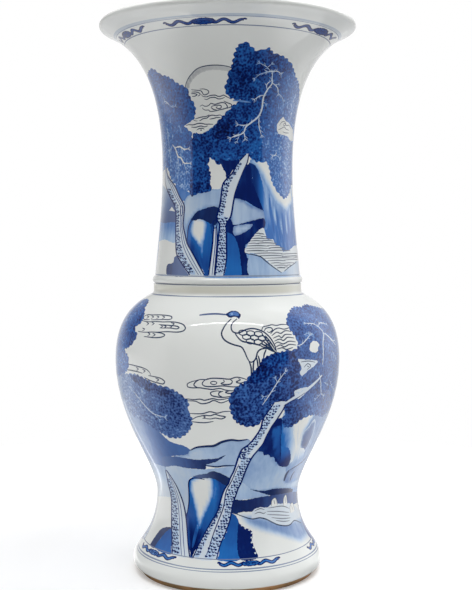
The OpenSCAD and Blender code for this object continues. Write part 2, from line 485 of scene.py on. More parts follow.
class TurnedPath:
    """A smooth section of a turned wall: radius and height along its length, in millimetres.

    STEP is the distance between its points. A corner that turns by more than SHARP stays a corner.
    """

    STEP = 0.25
    SHARP = math.radians(16)

    def __init__(self, corners):
        legs = np.diff(corners, axis=0)
        lengths = np.linalg.norm(legs, axis=1)
        units = legs / lengths[:, None]
        count = len(legs)
        starts = units.copy()
        ends = units.copy()
        for index in range(count - 1):
            turn = math.acos(max(-1.0, min(1.0, float(units[index] @ units[index + 1]))))
            if turn < self.SHARP:
                blend = units[index] * lengths[index + 1] + units[index + 1] * lengths[index]
                ends[index] = blend / np.linalg.norm(blend)
                starts[index + 1] = ends[index]
        points = [corners[:1]]
        for index in range(count):
            share = np.arange(1, math.ceil(lengths[index] / self.STEP) + 1)
            share = (share / share[-1])[:, None]
            points.append(hermite(corners[index], corners[index + 1],
                                  starts[index] * lengths[index], ends[index] * lengths[index], share))
        points = np.vstack(points)
        self.run = np.concatenate([[0.0], np.cumsum(np.linalg.norm(np.diff(points, axis=0), axis=1))])
        self.radius = points[:, 0]
        self.height = points[:, 1]
        slope = np.gradient(points, self.run, axis=0)
        self.slope = np.stack([rounded(slope[:, 0]), rounded(slope[:, 1])], 1)
        self.rising = np.maximum.accumulate(self.height)

    def at(self, run):
        """Radius and height at a distance along the path."""
        return np.interp(run, self.run, self.radius), np.interp(run, self.run, self.height)

    def along(self, height):
        """Distance along the path at which it reaches a height."""
        return np.interp(height, self.rising, self.run)

    def facing(self, run):
        """Outward direction of the wall, as (out, up)."""
        out = np.interp(run, self.run, self.slope[:, 1])
        up = -np.interp(run, self.run, self.slope[:, 0])
        size = np.hypot(out, up)
        return out / size, up / size

    def rows(self, low, high):
        """Rows for a sheet between two distances, closer where the wall bends."""
        painting = settings("painting")
        bend = np.abs(np.diff(np.unwrap(np.arctan2(self.slope[:, 1], self.slope[:, 0]))))
        cost = np.diff(self.run) / (painting.row / MM) + bend / painting.row_turn
        total = np.concatenate([[0.0], np.cumsum(cost)])
        first, last = np.interp((low, high), self.run, total)
        count = max(2, math.ceil(last - first))
        return np.interp(np.linspace(first, last, count + 1), total, self.run)


def hermite(start, end, leave, arrive, share):
    """Points of a cubic curve with given end directions."""
    square = share * share
    cube = square * share
    return ((2 * cube - 3 * square + 1) * start + (cube - 2 * square + share) * leave
            + (3 * square - 2 * cube) * end + (cube - square) * arrive)


def rounded(values, reach=2):
    """A running mean, which rounds the corners of a direction along the path."""
    padded = np.pad(values, reach, mode="edge")
    return np.convolve(padded, np.ones(2 * reach + 1) / (2 * reach + 1), mode="valid")


# Brushwork on the unrolled surface

class Brushwork:
    """A painting on the unrolled wall: brush shapes in order, each laid over the ones before it.

    Points are (degrees to the right of the front, millimetres of height). PLANE is about how many
    millimetres a degree takes, so that the sheet is cut near its true shape. Points of the sheet
    closer than MERGE become one. SEED sets the chance strokes of the hand. TREMBLE and FRINGE are how
    far, in millimetres, the edges of washes and of needles waver. The last two count the points of a
    small loop and of a ring round the vase.
    """

    PLANE = 1.35
    MERGE = 1e-4
    SEED = 5
    TREMBLE = 0.28
    FRINGE = 0.14
    LOOP_POINTS = 13
    RING_POINTS = 145

    def __init__(self, path):
        self.path = path
        self.shapes = []
        self.back = False
        self.hand = random.Random(self.SEED)

    def flat(self, points):
        """Points as millimetres across and along the path, near the middle of the shape."""
        points = np.array(points, float)
        degrees = points[:, 0] + (180.0 if self.back else 0.0)
        run = self.path.along(points[:, 1])
        scale = math.radians(1) * self.path.at(run.mean())[0]
        return np.stack([degrees * scale, run], 1), scale

    def add(self, outline, scale, tone, fade=None, leaf=0.0, ink=0.0, blur=0.0, rim=0.0):
        """Keeps a shape, given in millimetres, as degrees and distance along the path."""
        shades = None
        if fade:
            ends, ends_scale = self.flat([fade[0][:2], fade[1][:2]])
            ends *= (scale / ends_scale, 1.0)
            shades = (ends[0], ends[1], fade[0][2], fade[1][2])
        self.shapes.append({
            "outline": outline / (scale, 1.0), "scale": scale, "tone": tone, "shades": shades,
            "leaf": leaf, "ink": ink, "blur": blur, "rim": rim,
        })

    def wash(self, points, tone=BARE, fade=None, soft=True, ink=0.0, blur=0.0, rim=0.0):
        """A wash inside an outline. fade is ((x, z, tone), (x, z, tone)).

        blur is how far, in millimetres, it eases from the tone rim at its edge to its own tone.
        """
        flat, scale = self.flat(points)
        outline = flat
        if soft:
            outline = curve(flat, closed=True)
            run = np.arange(len(outline))
            tremble = self.TREMBLE * np.sin(run * 1.9) * np.sin(run * 0.53 + 1.0)
            outline = outline + side(outline, True) * tremble[:, None]
        self.add(outline, scale, tone, fade, ink=ink, blur=blur, rim=rim)

    def leaves(self, points, tone=STRONG, fade=None, depth=1.5, ink=0.0, lump=5.0):
        """A mass of pine needles with a lobed edge."""
        flat, scale = self.flat(points)
        outline = curve(flat, closed=True)
        run = np.concatenate([[0.0], np.cumsum(np.linalg.norm(np.diff(outline, axis=0), axis=1))])
        wander = 0.6 * np.sin(run / lump * 0.9) + 0.4 * np.sin(run / lump * 2.3 + 1.0)
        swell = np.abs(np.sin(np.pi * run / lump + wander))
        fringe = self.FRINGE * np.sin(run * 4.1) * np.sin(run * 1.7 + 2.0)
        outward = side(outline, True) * np.sign(-turning(outline))
        outline = outline + outward * (depth * (swell - 0.6) + fringe)[:, None]
        self.add(outline, scale, tone, fade, leaf=1.0, ink=ink)

    def line(self, points, width=0.7, tone=STRONG, ends=0.35, ink=0.0, blur=0.0, rim=0.0):
        """One stroke of the brush, thinner at its ends; ink makes it dark grey-blue."""
        flat, scale = self.flat(points)
        self.add(stroke(curve(flat, closed=False), width, ends), scale, tone, ink=ink, blur=blur, rim=rim)

    def lines(self, strokes, width=0.7, tone=STRONG, ends=0.35, ink=0.0, blur=0.0, rim=0.0):
        """Several strokes of the same brush."""
        for points in strokes:
            self.line(points, width, tone, ends, ink, blur, rim)

    def bough(self, points, width, twig=2.6, tone=MIST):
        """A bare bough left pale among the needles, with short twigs beside it and a spray at its tip."""
        flat, scale = self.flat(points)
        middle = curve(flat, closed=False)
        across = side(middle, False)
        along = np.stack([across[:, 1], -across[:, 0]], 1)
        leans = [(len(middle) - 1, lean) for lean in (-0.9, -0.35, 0.3, 0.8)]
        leans += [(place, self.hand.choice((-0.8, 0.8))) for place in range(3, len(middle) - 2, 4)]
        for place, lean in leans:
            reach = twig * self.hand.uniform(0.6, 1.2) * (along[place] + across[place] * lean)
            spray = curve(np.stack([middle[place], middle[place] + reach]), closed=False)
            self.add(stroke(spray, 0.4, 0.4), scale, tone + 0.1)
        self.add(stroke(middle, width, 0.35), scale, tone)

    def loop(self, x, z, wide, tall, width=0.5, tone=STRONG, ink=0.0):
        """A small ring, drawn as one closed stroke; wide is in degrees."""
        turns = np.linspace(0.0, 2.0 * math.pi, self.LOOP_POINTS)
        ring = [(x + wide * math.cos(turn), z + tall * math.sin(turn)) for turn in turns]
        self.line(ring, width, tone, 0.8, ink)

    def ring(self, height, width, tone=MID, sway=0.12):
        """A line all round the vase, with the slight sway of a hand-held brush on a wheel."""
        around = np.linspace(-180.0, 180.0, self.RING_POINTS)
        swing = sway * (np.sin(np.radians(around * 3)) + 0.6 * np.sin(np.radians(around * 7 + 40)))
        run = self.path.along(height) + swing
        breadth = 0.5 * width * (1.0 + 0.18 * np.sin(np.radians(around * 5 + 20)))
        over = np.stack([around, run + breadth], 1)
        under = np.stack([around, run - breadth], 1)[::-1]
        self.add(np.vstack([over, under]), 1.0, tone, ink=0.7)

    def cut(self, low, high):
        """Cuts the sheet along every brush edge. Returns its points, triangles and corner values."""
        rows = self.path.rows(low, high)
        step = math.degrees(settings("painting").column)
        columns = np.linspace(-180.0, 180.0, round(360.0 / step) + 1)
        grid = np.stack(np.meshgrid(columns, rows), -1).reshape(-1, 2)
        points = [grid]
        edges = [border_edges(len(rows), len(columns))]
        count = len(grid)
        outlines = []
        for index, shape in enumerate(self.shapes):
            for turn in (-360.0, 0.0, 360.0):
                outline = shape["outline"] + (turn, 0.0)
                if (outline.min(0) < (180.0, high)).all() and (outline.max(0) > (-180.0, low)).all():
                    outlines.append((index, outline))
                    order = np.arange(len(outline))
                    edges.append(np.stack([order, np.roll(order, -1)], 1) + count)
                    points.append(outline)
                    count += len(outline)
        flat = np.vstack(points) * (self.PLANE, 1.0)
        corners = [Vector(point) for point in flat]
        found = delaunay_2d_cdt(corners, np.vstack(edges).tolist(), [], 0, self.MERGE, False)
        spots = np.array([tuple(point) for point in found[0]]) / (self.PLANE, 1.0)
        faces = np.array(found[2])
        centres = spots[faces].mean(1)
        slack = 1e-3
        kept = (np.abs(centres[:, 0]) < 180.0) & (centres[:, 1] > low) & (centres[:, 1] < high)
        kept &= np.abs(spots[faces][:, :, 0]).max(1) < 180.0 + slack
        faces = faces[kept]
        return spots, faces, *self.tones(spots, faces, outlines)

    def tones(self, spots, faces, outlines):
        """At every corner of the triangles: strength of the cobalt, needles and drawn outlines."""
        centres = spots[faces].mean(1)
        order = np.argsort(centres[:, 1])
        centres = centres[order]
        top = np.full(len(faces), -1)
        for number, (index, outline) in enumerate(outlines):
            low, high = outline.min(0), outline.max(0)
            first, last = np.searchsorted(centres[:, 1], (low[1], high[1]))
            band = centres[first:last]
            near = np.flatnonzero((band[:, 0] > low[0]) & (band[:, 0] < high[0]))
            top[order[first + near[encloses(outline, band[near])]]] = number
        tone, leaf, ink = np.zeros((3, *faces.shape))
        for number in np.unique(top[top >= 0]):
            index, outline = outlines[number]
            shape = self.shapes[index]
            mine = top == number
            leaf[mine] = shape["leaf"]
            ink[mine] = shape["ink"]
            tone[mine] = shaded(spots[faces[mine]], shape, outline)
        return tone, leaf, ink


def border_edges(rows, columns):
    """Edges round the outside of a grid of points."""
    order = np.arange(rows * columns).reshape(rows, columns)
    sides = (order[0], order[-1], order[:, 0], order[:, -1])
    return np.vstack([np.stack([line[:-1], line[1:]], 1) for line in sides])


def encloses(outline, points):
    """Which points lie inside an outline, however often it crosses itself."""
    start = outline
    end = np.roll(outline, -1, axis=0)
    x, y = points[:, :1], points[:, 1:]
    cross = (end[:, 0] - start[:, 0]) * (y - start[:, 1]) - (end[:, 1] - start[:, 1]) * (x - start[:, 0])
    upward = (start[:, 1] <= y) & (end[:, 1] > y) & (cross > 0)
    downward = (start[:, 1] > y) & (end[:, 1] <= y) & (cross < 0)
    return upward.sum(1) != downward.sum(1)


def shaded(spots, shape, outline):
    """Tone of a wash at points on the sheet: flat, fading along it or easing in from its edge."""
    places = spots * (shape["scale"], 1.0)
    tone = shape["tone"]
    if shape["shades"]:
        first, second, low, high = shape["shades"]
        turn = outline[0, 0] - shape["outline"][0, 0]
        span = second - first
        share = ((places - first - (turn * shape["scale"], 0.0)) @ span) / (span @ span)
        tone = low + (high - low) * eased(share)
    if shape["blur"]:
        depth = edge_distance(places, outline * (shape["scale"], 1.0))
        tone = shape["rim"] + (tone - shape["rim"]) * eased(depth / shape["blur"])
    return tone


def eased(share):
    """0 to 1, eased at both ends."""
    share = np.clip(share, 0.0, 1.0)
    return share * share * (3.0 - 2.0 * share)


def edge_distance(places, outline):
    """How far points lie from the nearest place on an outline."""
    start = outline
    along = np.roll(outline, -1, axis=0) - start
    length = np.maximum((along * along).sum(1), 1e-12)
    away = places[..., None, :] - start
    share = np.clip((away * along).sum(-1) / length, 0.0, 1.0)
    return np.linalg.norm(away - share[..., None] * along, axis=-1).min(-1)


def curve(points, closed):
    """A smooth curve through given points, in millimetres."""
    step = settings("painting").edge / MM
    if closed:
        points = np.vstack([points[-1:], points, points[:2]])
    else:
        points = np.vstack([2 * points[0] - points[1], points, 2 * points[-1] - points[-2]])
    made = [points[1:2]]
    for before, start, end, after in zip(points, points[1:], points[2:], points[3:]):
        gap = np.linalg.norm(end - start)
        leave = (end - before) * gap / (gap + np.linalg.norm(start - before))
        arrive = (after - start) * gap / (gap + np.linalg.norm(after - end))
        share = np.arange(1, math.ceil(gap / step) + 1)
        made.append(hermite(start, end, leave, arrive, (share / share[-1])[:, None]))
    made = np.vstack(made)
    return made[:-1] if closed else made


def stroke(middle, width, ends):
    """The outline of a brush stroke that is thinner at its ends."""
    share = np.linspace(0.0, 1.0, len(middle))
    press = ends + (1.0 - ends) * np.sin(np.pi * share) ** 0.6
    reach = side(middle, False) * (0.5 * width * press)[:, None]
    return np.vstack([middle + reach, (middle - reach)[::-1]])


def turning(outline):
    """More than 0 for an outline that runs anticlockwise."""
    ahead = np.roll(outline, -1, axis=0)
    return float((outline[:, 0] * ahead[:, 1] - outline[:, 1] * ahead[:, 0]).sum())


def side(points, closed):
    """Unit vectors across a curve; on a clockwise outline they point outwards."""
    if closed:
        along = np.roll(points, -1, axis=0) - np.roll(points, 1, axis=0)
    else:
        along = np.gradient(points, axis=0)
    along /= np.maximum(np.linalg.norm(along, axis=1), 1e-9)[:, None]
    return np.stack([-along[:, 1], along[:, 0]], 1)


# Motifs

# Bark: the strength of its wash, the height of a row of scales in millimetres, and the scales in a row
BARK = 0.22
BARK_ROW = 2.1
BARK_COLUMNS = 3


def trunk(art, spans, bark, stripes=()):
    """A pine trunk with scaly bark: spans are (height, left, right), bark is (from, to, low, high).

    From, to and the stripes are shares of the trunk's width.
    """
    left = [(west, z) for z, west, east in spans]
    right = [(east, z) for z, west, east in spans]
    rising, wests, easts = zip(*spans[::-1])

    def across(share, z):
        west = float(np.interp(z, rising, wests))
        east = float(np.interp(z, rising, easts))
        return west + share * (east - west)

    art.wash(left + right[::-1], MIST)
    for start, end, low, high in bark:
        heights = np.linspace(low, high, 8)
        west_edge = [(across(start, z), z) for z in heights]
        east_edge = [(across(end, z), z) for z in heights]
        art.wash(west_edge + east_edge[::-1], BARK)
        rows = round((high - low) / BARK_ROW)
        for row in range(rows):
            for column in range(BARK_COLUMNS):
                middle = start + (end - start) * (column + 0.25 + 0.5 * (row % 2)) / BARK_COLUMNS
                z = low + (row + art.hand.uniform(0.2, 0.8)) * (high - low) / rows
                reach = (end - start) * art.hand.uniform(0.1, 0.17)
                droop = art.hand.uniform(0.5, 1.4)
                bends = ((-1.0, 1.0), (-0.2, 0.0), (1.0, 0.4))
                scale = [(across(middle + aside * reach, z + lift * droop), z + lift * droop)
                         for aside, lift in bends]
                art.line(scale, art.hand.uniform(0.8, 1.6), DEEP, 0.5)
    for share in stripes:
        art.line([(across(share, z), z) for z in rising], 0.7, STRONG, 0.5)
    art.line(left, 1.4, DEEP, 0.6)
    art.line(right, 1.4, DEEP, 0.6)


def paint_scene(art, motifs, front_only, side_motif):
    """Lays a scene on the front and on the back; one of its motifs is on the front alone."""
    for back in (False, True):
        art.back = back
        for motif in motifs:
            if motif is not front_only or not back:
                motif(art)
    for back in (False, True):
        art.back = back
        side_motif(art)
    art.back = False


def paint_border(art, rings, emblems, height, tall, fill):
    """Lines all round, as (height, width, tone), and emblems, as (degrees, half width), at one height."""
    for line in rings:
        art.ring(*line)
    for x, half in emblems:
        ribbon_emblem(art, x, height, half, tall, fill)


def ribbon_emblem(art, x, z, half, tall, fill):
    """A lozenge-shaped emblem bound with ribbons that wave to both sides; half is in degrees."""
    waves = 2.2
    for direction in (-1, 1):
        wave = []
        for share in np.linspace(0.2, 1.0, 21):
            lift = 0.4 * tall * math.sin(direction * 0.8 + 2.0 * math.pi * waves * share)
            wave.append((x + direction * half * share, z + lift))
        tip_x, tip_z = wave[-1]
        art.line(wave, 3.1, DEEP, 0.75)
        art.line([(tip_x - 0.05 * direction * half, tip_z - 0.3), (tip_x, tip_z + 0.5),
                  (tip_x + 0.07 * direction * half, tip_z + 0.2)], 1.9, DEEP, 0.5)
        art.line(wave[1:-1], 1.2, fill, 0.6)
    lozenge = ((-0.32, -0.1), (-0.2, 0.64), (0.05, 0.9), (0.24, 0.62), (0.32, 0.0), (0.2, -0.68),
               (-0.05, -0.9), (-0.24, -0.62))
    art.wash([(x + wide * half, z + high * tall) for wide, high in lozenge], DEEP)
    art.wash([(x + 0.8 * wide * half, z + 0.68 * high * tall) for wide, high in lozenge], fill)
    art.line([(x - 0.24 * half, z), (x, z + 0.1 * tall), (x + 0.24 * half, z)], 0.6, DEEP, 0.5)
    for place in (-0.1, 0.1):
        art.loop(x + place * half, z, 0.07 * half, 0.34 * tall, 0.6, DEEP)


# The neck

def neck_ground(art):
    """Hills, slopes and washes behind the pines."""
    art.wash([(-95, 330), (-80, 323), (-68, 319), (-56, 310), (-49, 303), (-46, 297), (-46, 289), (-62, 290),
              (-95, 290)], fade=((-72, 320, 0.32), (-54, 295, 0.8)), ink=0.4)
    art.wash([(-95, 290.5), (-64, 290.5), (-46, 289.5), (-45, 275), (-62, 277), (-95, 275)],
             fade=((-60, 290, 0.5), (-60, 276, 0.3)))
    art.wash([(-58, 300.5), (-54, 303.5), (-49, 299.5)], BARE, soft=False)
    art.wash([(-54, 249), (-54.5, 256.5), (-47, 258.5), (-46, 262.5), (-42, 264.5), (-37, 259), (-30, 249)],
             fade=((-53, 254, 0.95), (-38, 256, 0.7)), ink=0.4)
    art.wash([(-50, 320), (-44, 322), (-38, 316.5), (-32, 313), (-36, 308), (-44, 309)], MID)
    art.wash([(-39, 306), (-33, 312.5), (-13, 316.5), (4, 318), (12, 330), (19, 337), (36, 338), (42, 322),
              (50, 313), (56, 310), (67, 312), (95, 308), (95, 249), (-28, 249), (-34, 272), (-38, 290)],
             SOFT)
    art.wash([(-39, 306), (-33, 312.5), (-22, 314), (-13, 316.5), (-3, 317.5), (-3, 311), (-6, 303),
              (-12.5, 302), (-20, 302), (-25.5, 299), (-30, 295), (-34, 289), (-36, 279), (-38, 292)],
             fade=((-34, 296, 0.24), (-8, 312, 0.36)), ink=0.25, blur=2.2, rim=0.42)


def neck_moon(art):
    """A moon that rises behind the pines."""
    arc = [(-33.5, 395), (-31, 400), (-27, 404.5), (-20, 409.4), (-10, 411), (0, 410), (6, 407.5)]
    inner = [(6, 404), (0, 406.4), (-10, 407.6), (-18, 406), (-24, 402.5), (-28, 398.5), (-30, 395)]
    art.wash(arc + inner, fade=((-30, 398, 0.5), (-4, 409, 0.3)), ink=1.0, blur=1.2, rim=0.24)
    art.line(arc, 0.8, DEEP, 0.6, 1.0)


def neck_clouds(art):
    """Thin banks of cloud drawn in line between the pines."""
    art.lines([
        [(-28, 394), (-23, 393.2), (-20, 392.6), (-19, 391), (-18, 389.6), (-15.5, 390), (-14, 391.5),
         (-15, 393), (-18, 394), (-21, 394)],
        [(-28.5, 391), (-26, 391), (-23.5, 390), (-25.5, 389), (-28, 389)],
        [(-28, 392.2), (-24, 392), (-21.5, 391), (-21, 390), (-23, 388.8)],
        [(-20, 390), (-19, 388.5), (-16, 388), (-14.5, 388.5), (-12, 389), (-9, 389), (-7.5, 388.2),
         (-5, 388.2), (-3, 389), (-1, 388), (3, 386)],
        [(-18, 386.5), (-16, 386), (-14, 387), (-12, 387.4), (-9.5, 387.4), (-7, 386.2), (-4.5, 386.4),
         (-2, 387.4)],
        [(-22, 381), (-20, 382), (-18, 381), (-16, 381), (-14, 382), (-13, 383), (-10, 382.2), (-6.5, 383),
         (-4, 383.5), (-2, 383), (-1, 382), (0, 380), (-1.5, 379), (-6, 378), (-11, 377), (-14, 377),
         (-15, 378), (-17.5, 378), (-19.5, 379), (-20, 380)],
        [(-13, 380), (-11.5, 381), (-7, 381.5), (-5, 381), (-5, 379.5), (-6, 379), (-8, 379), (-9, 380),
         (-7.5, 380.2)],
        [(-13, 380), (-12, 379), (-10.5, 378.2), (-8.5, 378)],
        [(-3, 384.6), (0, 383.2), (3, 382), (3, 380.4), (0, 379.2), (-1.5, 379)],
        [(-28.5, 371), (-26, 370), (-23, 370), (-20, 371.5), (-16.5, 372), (-14.5, 373.5), (-12, 374),
         (-9, 373.5), (-6, 374), (-4, 373)],
        [(-27, 371.6), (-23, 372.5), (-20, 373), (-17, 373.2), (-14.5, 374.4)],
        [(-14.5, 371), (-11, 371.5), (-9, 372), (-5.5, 372)],
    ], 0.8, DEEP, 0.5, ink=1.0)


def neck_pines(art):
    """The masses of needles at both sides and across the middle."""
    art.leaves([(-97, 388), (-93, 400), (-86, 409), (-75, 413), (-62, 414), (-56, 409), (-46, 405),
                (-38, 399), (-32, 396), (-29.5, 388), (-26, 381), (-28, 372), (-36, 366), (-31, 361),
                (-30, 340), (-30, 316), (-38, 316), (-48, 320), (-56, 325), (-64, 335), (-74, 334),
                (-95, 334)], fade=((-70, 360, 0.62), (-35, 385, 0.84)))
    art.leaves([(0, 389), (-2, 394), (0, 400), (1, 406), (3, 411), (4, 418), (6, 424), (10, 427),
                (14, 424.5), (18, 421.5), (22, 422.5), (26, 424), (30, 421), (36, 420), (42, 418), (48, 415),
                (53, 411), (58, 407), (66, 403), (72, 398), (80, 392), (95, 388), (95, 325), (80, 322),
                (74, 322), (68, 316), (62, 312), (56, 310), (50, 313), (44, 318), (40, 324), (38, 332),
                (35, 338), (25, 338), (18, 342), (10, 339), (4, 337), (-3, 336), (-8, 336), (-14, 341),
                (-16, 336), (-14, 328), (-14, 320), (-15, 315.5), (-24, 313.5), (-32, 312), (-32, 335),
                (-31, 355), (-28, 361), (-20, 361), (-14, 364), (-8, 369), (-2, 375), (3, 380), (7, 383),
                (10, 385), (4, 386)], fade=((14, 378, 0.9), (60, 362, 0.61)))
    art.leaves([(1, 392), (2, 404), (6, 412), (14, 409), (22, 405), (26, 398), (20, 392), (10, 390)],
               fade=((8, 402, 1.0), (24, 396, 0.9)), depth=0.8)
    art.leaves([(-12, 362), (-2, 372), (8, 379), (18, 378), (14, 366), (4, 357), (-10, 356)],
               fade=((2, 368, 1.02), (14, 372, 0.9)), depth=0.8)
    art.leaves([(-32, 312), (-31, 322), (-20, 322), (-13, 320), (-14.5, 315), (-24, 313.5)], 0.95, depth=0.5)


def neck_boughs(art):
    """Bare boughs left white among the needles, and the patches of cloud and sky in them."""
    art.wash([(-14.5, 340), (-11.5, 336), (-8, 334.5), (-4, 333), (-1.5, 329), (-1, 325), (-4, 321),
              (-6, 317), (-11, 316.5), (-14, 319.5), (-14, 324.5), (-13, 330), (-15, 336)], BARE)
    art.wash([(-6, 340), (0, 338.5), (10, 339), (6, 333.5), (2, 328), (-1, 324.5), (-1.5, 329), (-4, 333)],
             DEEP)
    art.wash([(-38, 366.5), (-33, 369), (-26, 370), (-14, 369.5), (-9, 368), (-14, 364), (-19, 361),
              (-24, 360), (-28, 362.5), (-33, 364.5)], BARE)
    art.lines([
        [(-36, 367), (-33.5, 367.6), (-29, 367.2), (-25, 368), (-21.5, 368), (-18, 367.2), (-15, 367.2),
         (-11.5, 367)],
        [(-31, 365.6), (-27, 365.2), (-22, 366), (-19, 365.2), (-16, 366)],
        [(-26, 363), (-24, 364), (-21, 364.2), (-19, 363.4)],
    ], 0.85, DEEP, 0.5, ink=1.0)
    art.loop(-22, 362.8, 0.5, 0.4, 0.5, DEEP, 1.0)
    art.wash([(45, 368), (48, 372), (52, 375), (56, 372.5), (61, 371.5), (67, 369), (75, 366), (78, 359),
              (68, 358), (62, 360.5), (54, 361), (47, 362)], BARE)
    art.lines([
        [(48, 368), (51, 371), (55, 371.5), (58, 369), (63, 369.5), (67, 367)],
        [(47, 364.5), (51, 366), (55, 367.5), (58, 366), (64, 365.5)],
        [(53, 363.5), (58, 363), (64, 363.5)],
    ], 0.6, DEEP, ink=1.0)
    art.loop(55, 369.3, 1.8, 0.8, 0.5, DEEP, 1.0)
    art.line([(4, 384.8), (8, 385), (13, 384.4), (18, 384)], 1.4, 0.5)
    art.bough([(5, 357), (13, 360.5), (15, 365), (20, 369), (25, 373), (28, 379), (28.5, 388), (31, 394),
               (34.5, 399.5), (33.5, 403), (33, 407.5)], 1.3, 2.2)
    for points in (
        [(-54, 353.4), (-50, 349.6), (-46.5, 343.2), (-43, 342), (-39.5, 337.8), (-33.5, 337.4)],
        [(-50, 350.6), (-44, 351), (-39.5, 348.8), (-35, 348.8)],
    ):
        art.bough(points, 1.2, 2.2, BARE)
    for points in (
        [(33, 407.5), (36, 408.6), (40, 407.4)],
        [(33, 407.5), (31, 408), (29, 407.4)],
        [(31, 394), (30, 398), (33, 401)],
        [(34.5, 399.5), (38, 398), (41, 395.5), (42, 392.5)],
        [(28.5, 390), (25, 389), (21.5, 386.5)],
        [(26, 374), (26.5, 366), (29, 359.5)],
        [(17, 367), (13, 366.2), (9, 366.6)],
        [(13.5, 361), (14.5, 356.5)],
        [(10, 359.4), (6, 358), (3, 356.5)],
        [(-53, 384.5), (-56, 387), (-58, 388)],
        [(46, 347), (45, 344.5), (42, 343.4)],
    ):
        art.bough(points, 0.75)
    for points in (
        [(42, 392.5), (46, 390.5), (49, 388)],
        [(38, 398), (40, 399)],
        [(31, 408), (27, 411), (22, 413)],
        [(31, 408), (27, 406.6), (23, 405), (20, 402)],
        [(28, 410.4), (30.5, 413)],
        [(28.5, 385), (31, 383.5)],
        [(10, 359.4), (8, 354)],
        [(-46.5, 343), (-46.5, 335.4)],
        [(-39.5, 337.4), (-37, 331.6)],
        [(-54, 353), (-57, 350.4), (-59.5, 349)],
        [(-53, 384.5), (-49, 382.5), (-46, 383)],
        [(-62, 368), (-60, 354), (-58, 342)],
        [(45, 344.5), (50, 342.6)],
    ):
        art.bough(points, 0.45, 2.4, 0.2)


